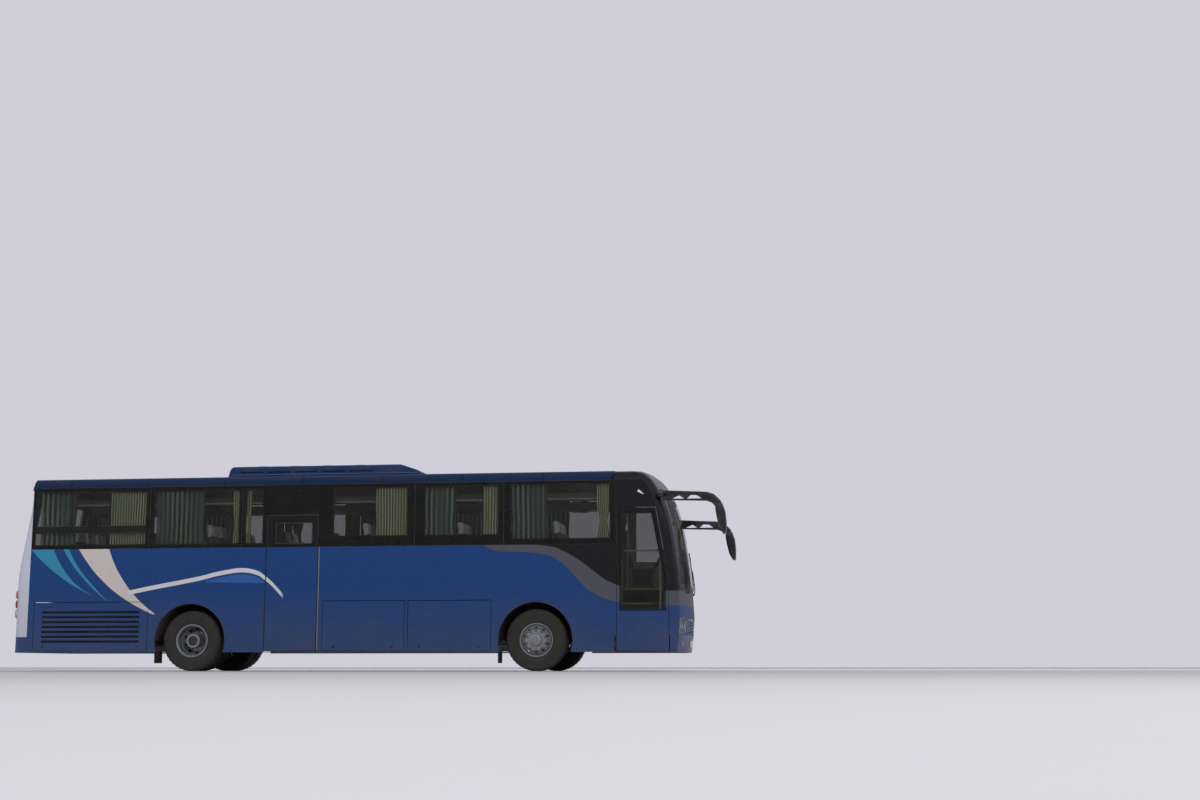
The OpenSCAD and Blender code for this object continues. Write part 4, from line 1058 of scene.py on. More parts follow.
def curtainSheet(start, end, kind, sign, seed):
    width, middle = end - start, (start + end) / 2
    pleats = max(2, round(width / (curtain["pleat"] * {"w": 1.5, "b": 0.8, "t": 0.62}[kind])))
    rows, columns = [], pleats * 8
    for k in range(curtain["rows"] + 1):
        share = k / curtain["rows"]
        z = curtain["low"] + (curtain["high"] - curtain["low"]) * share
        pinch = 1 - (0.42 if kind == "t" else 0.04) * math.exp(
            -((z - curtain["knot"]) / 0.16) ** 2)
        row = []
        for i in range(columns + 1):
            u = i / columns
            swing = curtain["swing"] * (0.72 + 0.28 * math.sin(seed + u * 7 + share * 1.5))
            y = curtain["face"] + swing * math.sin(2 * math.pi * pleats * u
                                                   + 0.5 * math.sin(seed + share * 3))
            row.append((middle + (u - 0.5) * (width - 0.006) * pinch, sign * y, z))
        rows.append(row)
    flat = sum(math.dist(a, b) for a, b in zip(rows[-1], rows[-1][1:]))
    return useModifier(surface(rows), "SOLIDIFY", thickness=curtain["thick"], offset=0), flat


# one cloth: thin where it hangs wide, close where it is bunched; painted shade darkens the
# valleys and a painted highlight lightens the ridges by the glass
def curtainPaint(name, cover, bright, middle, dark):
    paint = Paint(name, Sheen_Weight=0.2)
    x, y, z = paint.split()
    valley = (y.size() - (curtain["face"] - curtain["swing"])) / (2 * curtain["swing"])
    weave = z.wave(0.006) * x.wave(0.005)
    # painted shade in the pleats' valleys, then a painted highlight on the ridges nearest the
    # glass
    colour = paint.mix(valley.above(0.42, 0.7), dark, middle)
    colour = paint.mix(valley.above(0.84, 0.22), colour, bright)
    colour = paint.mix(weave * 0.15, colour, dark)
    paint.set("Alpha", cover + valley.below(0.4, 0.9) * (1 - cover) * 0.8)
    return paint.done(colour, 0.8 + paint.cloud(9, 3) * 0.1, weave, 0.0004)


# one cloth in two copies: the wide curtains painted darker as painted shade (and sheer), the
# bunched ones painted lighter as painted light
wideCurtainShaded = curtainPaint("curtainWide", 0.66, tone(206, 224, 196), tone(126, 152, 142),
                           tone(52, 70, 66))
closeCurtainLit = curtainPaint("curtainClose", 1.0, tone(255, 255, 212), tone(200, 212, 164),
                            tone(66, 84, 58))
railTin = brushed("railTin", tone(170, 170, 168), 0.35, (60, 3, 3))
for side, sign in sides:
    y, z = curtain["face"], curtain["rail"]
    runs = ((0.34, 4.60), (5.72, 10.70)) if side == "right" else ((0.34, 10.70),)
    rail = [rod((a, sign * y, z), (b, sign * y, z), 0.0045, 8) for a, b in runs]
    for x in (0.36, 1.05, 1.72, 2.45, 3.3, 4.15, 5.78, 6.5, 7.2, 8.0, 8.8, 9.7, 10.66):
        rail.append(block((x - 0.006, sign * 1.2245, z - 0.008),
                          (x + 0.006, sign * y, z + 0.008)))
    finish(rail, "curtain_rail_" + side, railTin)
    for i, (start, end, kind) in enumerate(drawn[side]):
        piece, flat = curtainSheet(start, end, kind, sign, i * 2.3 + sign)
        finish(piece, "curtain_%s_%02d" % (side, i + 1),
               wideCurtainShaded if kind == "w" else closeCurtainLit, smooth=80)
        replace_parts(piece, "curtains")
print("curtains hung")


# ---- pane sealant, rims round the window holes, the hopper bar of the rearmost window

pane = {"low": 2.132, "high": 3.208, "gap": 0.0084, "out": 1.2735,
        "seams": {"right": [2.49, 4.185, 7.28, 8.84], "left": [2.49, 4.185, 5.70, 7.28, 8.84]}}
# window holes behind the panes: from, to, low, high
holes = [(0.34, 2.43, 2.19, 3.15), (2.545, 4.14, 2.19, 3.15), (5.82, 7.16, 2.30, 3.16),
         (7.44, 8.755, 2.30, 3.16), (8.95, 10.685, 2.22, 3.17)]
oneHole = {"right": (4.23, 4.57, 2.19, 3.15), "left": (4.24, 5.62, 2.19, 3.15)}
for side, sign in sides:
    parts = [block((x - pane["gap"] / 2, sign * 1.2665, pane["low"]),
                   (x + pane["gap"] / 2, sign * pane["out"], pane["high"]))
             for x in pane["seams"][side]]
    runs = ((0.30, 4.62), (5.60, 10.74)) if side == "right" else ((0.30, 10.74),)
    parts += [block((a, sign * 1.27, low), (b, sign * 1.2758, high))
              for low, high in ((2.127, pane["low"]), (pane["high"], 3.2125)) for a, b in runs]
    finish(parts, "pane_sealant_" + side, sealRubber)
    finish([rim(a + 0.001, b - 0.001, low + 0.001, high - 0.001, 0.035, 0.015, 0.028, 0.036,
                sign * 1.246) for a, b, low, high in holes + [oneHole[side]]],
           "window_rims_" + side, blackPlastic)
bars = [block((0.352, 1.2645, 2.41), (2.418, 1.236, 2.53), 0.004)]
bars += [block((x - 0.012, 1.2635, 2.53), (x + 0.012, 1.240, 3.14), 0.002, 1)
         for x in (1.03, 1.74)]
finish(bothSides(bars), "hopper_bars", blackPlastic)
finish(bothSides([block((0.352, 1.2660, z), (2.418, 1.2640, z + 0.008))
                  for z in (2.404, 2.530)]), "hopper_edges", railTin)
print("windows dressed")


# ---- rear marker lamps, the drop-shaped cap, gutters, arch lips and mud flaps

marker = {"low": (-0.010, -0.024, -0.042), "high": (0.012, 0.024, 0.042), "round": 0.0085,
          "at": (0.284, 1.246, 3.215), "tilt": -8, "turn": 40}
archLip = {"radius": 0.637, "out": -1.2725, "thick": 0.0065, "start": -17.5, "sweep": 215}
mudFlap = {"low": (-1.20, 0.135), "high": (-0.86, 0.345), "thick": 0.010,
           "behind": {"front": 0.648, "rear": 0.655}}
amber = lampColour("amberLens", tone(214, 96, 24))
pearl = lampColour("pearlLens", tone(226, 222, 214))
redLens = lampColour("redLens", tone(168, 16, 18))
chrome = brushed("chrome", tone(214, 216, 220), 0.12, (12, 12, 12))
x, y, z = marker["at"]
finish([placed(block(marker["low"], marker["high"], marker["round"], 3), (x, sign * y, z),
               (0, marker["tilt"], 180 - sign * marker["turn"])) for sign in (-1, 1)],
       "marker_lamps_rear", redLens)
drop = rod((-0.055, 0, 0), (0.06, 0, 0), 0.024, 20, tip=0.006, edge=0.004)
finish(placed(drop, (11.20, -1.2745, 3.0), (0, 34, 0), (1, 0.45, 1)), "marker_caps", pearl)
finish(bothSides([block((0.44, 1.2752, 3.2135), (10.72, 1.281, 3.2225), 0.0022, 1)]),
       "gutters", blackPlastic)
finish(block((5.583, -1.2766, 0.36), (5.600, -1.2745, 2.12), 0.0008, 1), "door_post_strip",
       railTin)
lips, mudFlaps, reach = [], [], archLip["radius"]
for end, middle in axles:
    turns = [math.radians(archLip["start"] + archLip["sweep"] * i / 40) for i in range(41)]
    lips.append(pipe([(middle + reach * math.cos(b), archLip["out"], axleZ + reach * math.sin(b))
                      for b in turns], archLip["thick"], 1, smooth=False))
    x, half = middle - mudFlap["behind"][end], mudFlap["thick"] / 2
    mudFlaps.append(block((x - half, *mudFlap["low"]), (x + half, *mudFlap["high"]), 0.003, 1))
finish(bothSides(lips), "arch_lips", sealRubber)
finish(bothSides(mudFlaps), "mud_flaps", rubber("flapRubber"))
print("trims placed")


# ---- mirrors: arm with a truss, hanging head, two glasses

mirror = {"drop": 0.28, "armY": -1.315, "headY": -1.295, "armDeep": 0.04, "headDeep": 0.22}
armLine = [(11.58, 2.853), (12.325, 2.832), (12.41, 2.800), (12.50, 2.70), (12.58, 2.70),
           (12.565, 2.83), (12.45, 2.945), (12.325, 2.985), (11.58, 3.02)]
trussHoles = [[(11.735, 2.875), (11.945, 2.875), (11.86, 2.93)],
              [(11.99, 2.875), (12.24, 2.875), (12.16, 2.93), (12.06, 2.935)]]
headLine = [(12.60, 2.272), (12.635, 2.272), (12.65, 2.31), (12.65, 2.50), (12.635, 2.65),
            (12.59, 2.78), (12.51, 2.79), (12.47, 2.72), (12.485, 2.60), (12.54, 2.37)]
mirrorSilver = brushed("mirrorSilver", tone(205, 208, 212), 0.03, (1, 1, 1))


def glassFace(p, q, back=0.0035):
    (x1, z1), (x2, z2) = p, q
    share = back / math.dist(p, q)
    nx, nz = -(z2 - z1) * share, (x2 - x1) * share
    return plate([[p, q, (x2 + nx, z2 + nz), (x1 + nx, z1 + nz)]], 0.184, 0.0008,
                 mirror["headY"])


shell = [plate([armLine] + trussHoles, mirror["armDeep"], 0.008, mirror["armY"]),
         plate([headLine], mirror["headDeep"], 0.024, mirror["headY"]),
         block((11.50, -1.335, 2.905), (11.655, -1.20, 2.985), 0.016, 3),
         rod((12.545, -1.315, 2.695), (12.55, -1.30, 2.80), 0.034, 20, edge=0.006)]
glasses = [glassFace((12.5365, 2.385), (12.4875, 2.590)),
           glassFace((12.4845, 2.612), (12.4715, 2.712))]
for parts, name, paint in ((shell, "mirror_shells", blackGloss),
                           (glasses, "mirror_glasses", mirrorSilver)):
    piece = join(parts)
    done = finish([piece, placed(otherSide(piece), (0, 0, -mirror["drop"]))], name, paint)
    if name == "mirror_shells":
        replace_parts(done, "mirrors")
print("mirrors hung")


# ---- wipers lying up the screen, on their posts

wiper = {"foot": 1.335, "top": 1.735, "blade": (1.395, 2.075)}
arms, blades = [], []
for y in (-0.54, 0.44):
    foot, (low, high) = wiper["foot"], wiper["blade"]
    arms.append(pipe([(noseX(y, z) + off, y, z) for z, off in
                      ((foot, 0.020), (1.40, 0.034), (1.60, 0.030), (wiper["top"], 0.023))],
                     0.008, 2))
    arms.append(rod((noseX(y, foot) - 0.01, y, foot), (noseX(y, foot) + 0.026, y, foot), 0.021,
                    20, edge=0.004))
    for off, thick, run in ((0.014, 0.0062, arms), (0.0055, 0.004, blades)):
        run.append(pipe([(noseX(y, z) + off, y, z) for z in spread(low, high, 12)], thick, 1))
    for z in (low + 0.11, wiper["top"], high - 0.11):
        x = noseX(y, z)
        arms.append(block((x + 0.004, y - 0.009, z - 0.02), (x + 0.024, y + 0.009, z + 0.02),
                          0.003, 1))
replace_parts(finish(arms, "wiper_arms", blackPlastic), "wipers")
finish(blades, "wiper_rubbers", sealRubber)
print("wipers placed")


# ---- head lamps: a dark housing behind the lens, three bowls, bulbs, an indicator

headLamp = {"low": 0.646, "high": 0.854, "inner": 0.722, "outer": 1.138, "z": 0.75,
            "bowls": (0.80, 0.925, 1.035), "radius": 0.055, "fogY": 0.88, "fogZ": 0.46}
bowlRows = [(0.012, -0.004), (0.028, 0.002), (0.042, 0.010), (0.052, 0.021), (0.055, 0.028),
            (0.058, 0.028), (0.056, 0.020), (0.044, 0.005), (0.030, -0.004), (0.012, -0.010)]
housing = subdivided(block((-0.047, headLamp["inner"], headLamp["low"]),
                           (-0.043, headLamp["outer"], headLamp["high"])), 12)
finish(bothSides([wrapped(housing, noseX)]), "lamp_housings", blackPlastic)
bowls, bulbs, z = [], [], headLamp["z"]
for y in headLamp["bowls"]:
    x = noseX(y + headLamp["radius"], z) - 0.036
    bowls.append(placed(spun(bowlRows, steps=28, closed=True), (x, y, z), (0, 0, -90)))
    bulbs.append(rod((x - 0.006, y, z), (x + 0.016, y, z), 0.008, 14, edge=0.003))
finish(bothSides(bowls), "lamp_bowls", chrome)
finish(bothSides(bulbs), "lamp_bulbs", pearl)
turn = block((-0.030, 1.092, 0.665), (-0.012, 1.128, 0.835), 0.006)
finish(bothSides([wrapped(turn, noseX)]), "lamp_indicators", amber)
fog, rings, z = [], [], headLamp["fogZ"]
for y in (-headLamp["fogY"], headLamp["fogY"]):
    spot = Vector((noseX(y, z), y, z))
    out = Vector((1, (noseX(y - 0.05, z) - noseX(y + 0.05, z)) / 0.1,
                  (noseX(y, z - 0.05) - noseX(y, z + 0.05)) / 0.1)).normalized()
    fog.append(rod(spot - out * 0.02, spot + out * 0.004, 0.046, 28, edge=0.003))
    rings.append(ring(spot + out * 0.002, out, 0.050, 0.005))
finish(fog, "fog_lamps", clearLens)
finish(rings, "fog_rings", chrome)
print("head lamps fitted")


# ---- grille vanes, number plates, screen rubber

grille = {"half": 0.632, "low": 0.650, "pitch": 0.052}
parts = []
for i in range(4):
    z = grille["low"] + i * grille["pitch"]
    vane = block((-0.012, -grille["half"], z + 0.010), (-0.004, grille["half"], z + 0.024),
                 0.002, 1)
    parts.append(wrapped(subdivided(vane, 10), noseX))
for y in spread(-0.60, 0.60, 12):
    x = noseX(y, 0.75)
    parts.append(block((x - 0.016, y - 0.003, 0.650), (x - 0.011, y + 0.003, 0.839)))
finish(parts, "grille_vanes", blackGloss)
front = block((-0.002, -0.22, 0.40), (0.006, 0.22, 0.52), 0.0025)
foot, top = noseX(0, 0.40), noseX(0, 0.52)
for vertex in front.data.vertices:
    vertex.co.x += foot + (top - foot) * (vertex.co.z - 0.40) / 0.12
finish([front, block((-0.003, -0.22, 0.40), (0.004, 0.22, 0.52), 0.003)], "number_plates",
       plainPaint("platePaint", tone(206, 206, 200), 0.4, dirty=0.2))
finish(screenRubber(noseX, 0.0015, 1.09, 1.109, 1.386, 3.052, 1.42, 3.02, 24, 20, 0.0055),
       "screen_rubber", sealRubber)
print("front trimmed")


# ---- tail: lamp bezels, reflectors, door handle, window rubber, stop lamp

tailLamp = {"out": 0.0045, "y": 1.09, "rows": (1.0, 1.17, 1.34), "radius": 0.0725,
            "rim": 0.0052}
finish(bothSides([ring((tailLamp["out"], tailLamp["y"], z), (1, 0, 0), tailLamp["radius"],
                       tailLamp["rim"], 36) for z in tailLamp["rows"]]),
       "tail_lamp_rings", chrome)
finish(bothSides([block((-0.002, 0.93, 0.47), (0.004, 1.03, 0.51), 0.0015, 1)]),
       "rear_reflectors", redLens)
finish([block((0.0005, -0.075, 0.665), (0.006, 0.075, 0.72), 0.002, 1),
        block((-0.004, -0.055, 0.683), (0.002, 0.055, 0.702), 0.003)],
       "engine_door_handle", blackPlastic, "engine_door")
finish(screenRubber(tailX, -0.0012, 0.897, 0.897, 2.193, 3.057, 2.22, 3.03, 8, 8, 0.005),
       "rear_window_rubber", sealRubber)
stop = subdivided(block((-0.004, -0.30, 3.100), (0.004, 0.30, 3.128), 0.003), 6)
finish(wrapped(stop, tailX), "high_stop_lamp", redLens)
print("tail trimmed")


# ---- roof: fans and guards in the cooling unit, side line, slot vanes, hatch ribs

fan = {"places": (4.3, 4.9, 5.5, 6.1), "y": 0.4, "radius": 0.226, "guard": 3.6255,
       "blade": 3.607, "hub": (3.5955, 3.616)}
guards, blades, reach, z = [], [], fan["radius"] - 0.001, fan["guard"] - 0.003
for x in fan["places"]:
    for y in (-fan["y"], fan["y"]):
        guards += [ring((x, y, fan["guard"]), (0, 0, 1), fan["radius"] * k / 5 - 0.003, 0.0022,
                        28, 4) for k in range(1, 6)]
        for b in (0, math.pi / 4, math.pi / 2, math.pi * 3 / 4):
            u, v = reach * math.cos(b), reach * math.sin(b)
            guards.append(rod((x - u, y - v, z), (x + u, y + v, z), 0.0028, 6))
        blades.append(rod((x, y, fan["hub"][0]), (x, y, fan["hub"][1]), 0.06, 20, edge=0.004))
        blades += [placed(block((0.055, -0.045, -0.0015), (0.205, 0.045, 0.0015)),
                          (x, y, fan["blade"]), (12, 0, 72 * k + 15)) for k in range(5)]
finish(guards, "fan_guards", blackPlastic)
finish(blades, "fan_blades", blackGloss)
finish(bothSides([block((3.83, 0.9005, 3.438), (7.22, 0.9028, 3.447), 0.001, 1)]),
       "air_unit_lines", plainPaint("lineBlue", tone(74, 96, 132), 0.35, dirty=0.15))
finish(bothSides([block((x, 0.872, z - 0.0012), (x + 0.416, 0.893, z + 0.0012))
                  for x in (3.982, 4.482, 4.982, 5.482, 5.982) for z in (3.489, 3.497)]),
       "air_unit_vanes", blackPlastic)
for name, x in (("rear", 2.35), ("front", 9.35)):
    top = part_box("hatch_" + name)[1][2]
    finish([block((x + 0.11 * k, -0.22, top - 0.003), (x + 0.025 + 0.11 * k, 0.22, top + 0.006),
                  0.003, 1) for k in range(5)],
           "hatch_ribs_" + name, hatchPaint, "hatch_" + name)
print("roof dressed")


# ---- flaps: latches, louvre blades, filler door

latch = {"radius": 0.026, "z": 0.415}
flapSpans = {"flap_right_rear": (-1, 5.68, 7.11), "flap_right_front": (-1, 7.19, 8.62),
             "flap_left_rear": (1, 4.06, 6.29), "flap_left_front": (1, 6.37, 8.62)}


def latchCup(x, sign):
    return pin(x, latch["z"], sign, 1.2735, 1.2768, latch["radius"], 24, edge=0.0012)


for name, (sign, start, end) in flapSpans.items():
    cups, z = [], latch["z"]
    for x in (start + (end - start) * 0.14, start + (end - start) * 0.86):
        cups += [latchCup(x, sign), block((x - 0.017, sign * 1.2760, z - 0.005),
                                          (x + 0.017, sign * 1.2785, z + 0.005), 0.0012, 1)]
    finish(cups, name + "_latches", blackPlastic, name)
for side, sign in sides:
    body = "side_door_" + side
    blades = [placed(block((0.572, -0.0022, -0.022), (2.368, 0.0022, 0.022)),
                     (0, sign * 1.248, 0.51 + 0.085 * i), (-38 * sign, 0, 0)) for i in range(7)]
    blades += [block((x - 0.008, sign * 1.238, 0.47), (x + 0.008, sign * 1.227, 1.06))
               for x in (1.02, 1.47, 1.92)]
    finish(blades, "louvre_blades_" + side, blackPlastic, body)
    finish([latchCup(x, sign) for x in (0.60, 2.34)], "side_door_latches_" + side,
           blackPlastic, body)
finish([rim(9.88, 10.08, 0.98, 1.20, 0.02, 0.004, 0.018, 0.002, 1.2752),
        rod((10.04, 1.274, 1.09), (10.04, 1.277, 1.09), 0.011)], "filler_door_line", sealRubber)
print("flaps dressed")


# ---- doors: rubbers, window rims, grab rails

boxes = [[(a, low), (b, low), (b, high), (a, high)] for a, b, low, high in
         ((4.6415, 5.5685, 0.342, 2.6885), (4.653, 5.557, 0.354, 2.677))]
finish(plate(boxes, 0.003, 0.0, -1.2752), "mid_door_rubber", sealRubber, "mid_door")
finish(rim(4.800, 5.470, 2.180, 2.560, 0.03, 0.018, 0.02, 0.004, -1.2765), "mid_door_rim",
       blackPlastic, "mid_door")
# each grab rail's place, its ends' and its grip's y, and the heights that it bends at
doorRails = {"mid_door": (4.80, -1.226, -1.195, 1.10, 1.14, 1.72, 1.76),
             "front_door": (10.868, -1.228, -1.200, 1.12, 1.15, 1.84, 1.87)}
for door, (x, foot, out, low, start, high, end) in doorRails.items():
    finish(pipe([(x, foot, low), (x, out, start), (x, out, high), (x, foot, end)], 0.011, 2),
           door + "_rail", railSteel, door)
print("doors dressed")


# ---- cabin: service units and lamps under the racks, ceiling lamps, steps, partition

cabin = {"rack": 2.90, "unitY": 1.005, "ceiling": 3.352, "rise": 0.26, "firstStep": 0.38}
units, lenses, vents, z = [], [], [], cabin["rack"]
for a, off in [place for group in ("right_rear", "right_front", "left")
               for place in places[group] if abs(place[1]) > 0.7]:
    x, middle = a + 0.30, math.copysign(cabin["unitY"], off)
    units.append(block((x - 0.15, middle - 0.11, z - 0.020), (x + 0.15, middle + 0.11, z + 0.002),
                       0.006, 1))
    for y in (middle - 0.05, middle + 0.05):
        lenses.append(rod((x - 0.08, y, z - 0.026), (x - 0.08, y, z - 0.017), 0.020))
        vents += [rod((x + 0.05, y, z - 0.028), (x + 0.05, y, z - 0.017), 0.030, 18, tip=0.033),
                  ring((x + 0.05, y, z - 0.028), (0, 0, 1), 0.020, 0.003, 16, 4)]
finish(units, "rack_units", rackPlastic)
finish(lenses, "reading_lamps", pearl)
finish(vents, "rack_vents", blackPlastic)
lenses, frames, z = [], [], cabin["ceiling"]
for y in (-0.30, 0.30):
    for x in spread(1.3, 9.22, 6):
        lenses.append(block((x - 0.5, y - 0.045, z), (x + 0.5, y + 0.045, z + 0.02), 0.012))
        frames.append(block((x - 0.53, y - 0.06, z + 0.006), (x + 0.53, y + 0.06, z + 0.022),
                            0.003, 1))
finish(lenses, "ceiling_lamps", pearl)
finish(frames, "ceiling_lamp_frames", railTin)
edges = []
for start, end, inner in ((4.67, 5.54, 0.50), (10.82, 11.614, 0.45)):
    tread = (coach["half"] - coach["wall"] - inner) / 4
    for i in range(1, 5):
        y, z = -1.225 + tread * i, cabin["firstStep"] + cabin["rise"] * i
        edges += [block((start, y - 0.003, z - 0.030), (end, y + 0.001, z + 0.003)),
                  block((start, y - 0.001, z - 0.001), (end, y + 0.036, z + 0.003))]
finish(edges, "step_edges", plainPaint("edgeYellow", tone(196, 162, 48), 0.55))
panelTop, glassTop = sill + 0.78, sill + 1.22
finish(block((10.47, 0.44, sill), (10.495, 1.19, panelTop), 0.004, 1), "driver_partition",
       rackPlastic)
finish(block((10.479, 0.46, panelTop), (10.485, 1.17, glassTop)), "partition_glass", sideGlass)
finish(pipe([(10.4825, y, sill + z) for y, z in
             ((0.445, 0.02), (0.445, 1.18), (0.485, 1.235), (1.195, 1.235))],
            0.014, 2, smooth=False), "partition_rail", railSteel)
print("cabin dressed")


# ---- driver's place: binnacle, dials, switches, wheel rim, lever, pedals

desk = {"wheel": (11.36, 0.69, sill + 0.62), "rim": 0.21, "dials": (11.548, sill + 0.520),
        "switches": (11.517, sill + 0.437)}
hood = [(11.575, 0.470), (11.68, 0.50), (11.66, 0.60), (11.585, 0.625), (11.545, 0.575)]
finish(plate([[(x, sill + z) for x, z in hood]], 0.46, 0.010, 0.69), "binnacle", dashPlastic)
dials, glasses, needles = [], [], []
slope, (x, z) = math.radians(43), desk["dials"]
out = Vector((-math.cos(slope), 0, math.sin(slope)))
for y, r in ((0.575, 0.048), (0.805, 0.048), (0.69, 0.032), (0.64, 0.020), (0.74, 0.020)):
    spot = Vector((x, y, z))
    dials.append(ring(spot, out, r, 0.004, 28, 6))
    glasses.append(rod(spot - out * 0.010, spot + out * 0.001, r, 28))
    spot += out * 0.0015
    needles.append(rod(spot, spot + Vector((0.3, 0.6, 0.3)) * r, 0.0012, 5))
finish(dials, "dial_rings", chrome)
finish(glasses, "dial_faces", blackGloss)
finish(needles, "dial_needles", pearl)
x, z = desk["switches"]
finish([block((x - 0.012, 0.036 * k, z - 0.012), (x + 0.010, 0.025 + 0.036 * k, z + 0.012),
              0.003, 1) for k in range(8)], "dash_switches", blackPlastic)
hub, tilt = Vector(desk["wheel"]), math.radians(60)
column = Vector((-math.sin(tilt), 0, math.cos(tilt)))
across = Vector((math.cos(tilt), 0, math.sin(tilt)))
finish([ring(hub, column, desk["rim"], 0.0175, 48, 10),
        rod(hub + column * 0.012, hub + column * 0.034, 0.066, 28, tip=0.055, edge=0.006),
        rod(hub, hub + across * 0.205, 0.012, 10)], "steering_wheel_cover", sealRubber)
lever = [rod((11.22, 0.36, sill), (11.26, 0.37, sill + 0.42), 0.012, 12),
         rod((11.26, 0.37, sill + 0.41), (11.265, 0.371, sill + 0.47), 0.024, edge=0.008),
         rod((11.22, 0.36, sill - 0.002), (11.225, 0.36, sill + 0.06), 0.05, tip=0.018)]
for y in (0.60, 0.70, 0.82):
    lever += [block((11.50, y - 0.035, sill + 0.06), (11.515, y + 0.035, sill + 0.17), 0.004, 1),
              rod((11.507, y, sill + 0.12), (11.54, y, sill + 0.20), 0.008, 8)]
finish(lever, "lever_and_pedals", blackPlastic)
print("driver's place dressed")


# ---- underside: tanks, shafts, silencer, radiator, batteries

tank = {"z": 0.80, "spans": ((4.45, 5.05), (5.25, 5.85), (6.25, 6.85)),
        "end": ((0.0, 0.0), (0.06, 0.006), (0.10, 0.024), (0.115, 0.05))}
tanks, straps, z = [], [], tank["z"]
for start, end in tank["spans"]:
    rows = list(tank["end"]) + [(r, end - start - a) for r, a in reversed(tank["end"])]
    for y in (-0.17, 0.17):
        shape = placed(spun(rows, steps=28), (start, y, z), (0, 0, -90))
        tanks.append(mergeSeams(shape))
        straps += [ring((x, y, z), (1, 0, 0), 0.118, 0.004, 28, 4)
                   for x in (start + 0.13, end - 0.13)]
    straps += [block((x - 0.02, -0.362, z + 0.112), (x + 0.02, 0.362, z + 0.130))
               for x in (start + 0.13, end - 0.13)]
finish(tanks, "air_tanks", blackPlastic)
finish(straps, "tank_straps", steelFrame)
finish([rod((2.26, 0, 0.640), (3.02, 0, 0.560), 0.048, 24),
        rod((2.24, 0, 0.642), (2.32, 0, 0.634), 0.075, 24, edge=0.008),
        rod((2.98, 0, 0.564), (3.13, 0, 0.548), 0.070, 24, edge=0.008)], "prop_shaft", steelFrame)
silencer = {"span": (1.15, 2.15), "y": -0.80, "z": 0.66, "radius": 0.16, "pipe": 0.05,
            "straps": (1.30, 2.00), "hung": 1.382}
(start, end), y, z = silencer["span"], silencer["y"], silencer["z"]
pot = [rod((start, y, z), (end, y, z), silencer["radius"], 36, edge=0.02),
       pipe([(1.16, -0.80, 0.66), (0.95, -0.78, 0.64), (0.75, -0.66, 0.60),
             (0.52, -0.62, 0.56)], silencer["pipe"], 4),
       pipe([(2.14, -0.80, 0.66), (2.24, -0.76, 0.70), (2.20, -0.56, 0.78),
             (1.9, -0.37, 0.82)], silencer["pipe"], 4)]
for x in silencer["straps"]:
    pot += [ring((x, y, z), (1, 0, 0), silencer["radius"] + 0.004, 0.006, 36, 4),
            rod((x, y, z + silencer["radius"]), (x, y, silencer["hung"]), 0.010, 8)]
finish(pot, "silencer", brushed("exhaustSteel", tone(122, 114, 104), 0.5, (8, 8, 8)))
fins = Paint("radiatorFins")
x, y, z = fins.split()
fins.done(fins.mix(z.wave(0.012) * x.wave(0.004), tone(30, 30, 30), tone(74, 74, 74)),
          0.5 + fins.cloud(8, 3) * 0.2, z.wave(0.012), 0.002, 0.6)
finish(block((0.82, 1.045, 0.50), (1.88, 1.115, 1.14)), "radiator_core", fins.material)
finish([block((0.78, 1.035, low), (1.92, 1.125, high), 0.004, 1)
        for low, high in ((0.46, 0.51), (1.13, 1.18))]
       + [block((x, 1.035, 0.46), (x + 0.04, 1.125, 1.383), 0.004, 1) for x in (0.78, 1.88)],
       "radiator_frame", blackPlastic)
battery = {"wide": 0.27, "foot": 0.50, "top": 0.74, "tray": 0.484}
finish([block((2.08, y, battery["foot"]), (2.30, y + battery["wide"], battery["top"]), 0.006, 1)
        for y in (0.78, 0.48)], "batteries", blackPlastic)
finish([block((2.05, 0.441, battery["tray"]), (2.33, 1.08, battery["foot"]))]
       + [block((2.05, y, battery["tray"]), (2.062, y + 0.03, 1.382)) for y in (0.445, 1.05)],
       "battery_tray", steelFrame)
print("underside packed")


# ---- brakes, dampers, brake lines

drumIron = underside("drumIron", tone(58, 56, 54), rust=0.8, rough=0.7)
# ring sections as (radius, out from the middle), by the piece's name and its body
brakes = (
    ("brake_drum_front_", "wheel_front_", coach["frontAxle"], 40,
     ((0.212, 0.972), (0.212, 1.175), (0.150, 1.187), (0.150, 1.180), (0.200, 1.168),
      (0.200, 0.972))),
    ("brake_plate_front_", "knuckle_", coach["frontAxle"], 36,
     ((0.194, 0.975), (0.194, 0.980), (0.060, 0.986), (0.060, 0.981))),
    ("brake_drum_rear_", "wheel_rear_", coach["rearAxle"], 40,
     ((0.212, 0.640), (0.212, 0.838), (0.150, 0.8565), (0.150, 0.850), (0.200, 0.830),
      (0.200, 0.640))))
backPlate = ((0.192, 0.645), (0.192, 0.652), (0.05, 0.652), (0.05, 0.645))


def hubRing(rows, x, sign, steps):
    return spun([(r, sign * a) for r, a in rows], (x, 0, axleZ), steps, True)


for side, sign in sides:
    for name, body, x, steps, rows in brakes:
        finish(hubRing(rows, x, sign, steps), name + side, drumIron, body + side)
    x, y, z = coach["rearAxle"], sign * 0.285, axleZ + 0.04
    finish([hubRing(backPlate, x, sign, 36)]
           + [rod((x + low, y, z), (x + high, y, z), r, 24, edge=0.01)
              for low, high, r in ((-0.34, -0.21, 0.085), (-0.21, -0.12, 0.068))]
           + [rod((x - 0.13, y, z), (x - 0.02, y, z - 0.01), 0.018, 10)],
           "brake_gear_rear_" + side, castIron)
    dampers = []
    for x, y in ((coach["frontAxle"] + 0.04, 0.62), (coach["rearAxle"] + 0.10, 0.30)):
        y *= sign
        dampers += [rod((x, y, axleZ + 0.02), (x + 0.05, y, 0.92), 0.034, 18, edge=0.004),
                    rod((x + 0.048, y, 0.88), (x + 0.095, y, 1.375), 0.016, 12),
                    rod((x + 0.043, y, 0.85), (x + 0.068, y, 1.10), 0.040, 18)]
    finish(dampers, "dampers_" + side, blackPlastic)
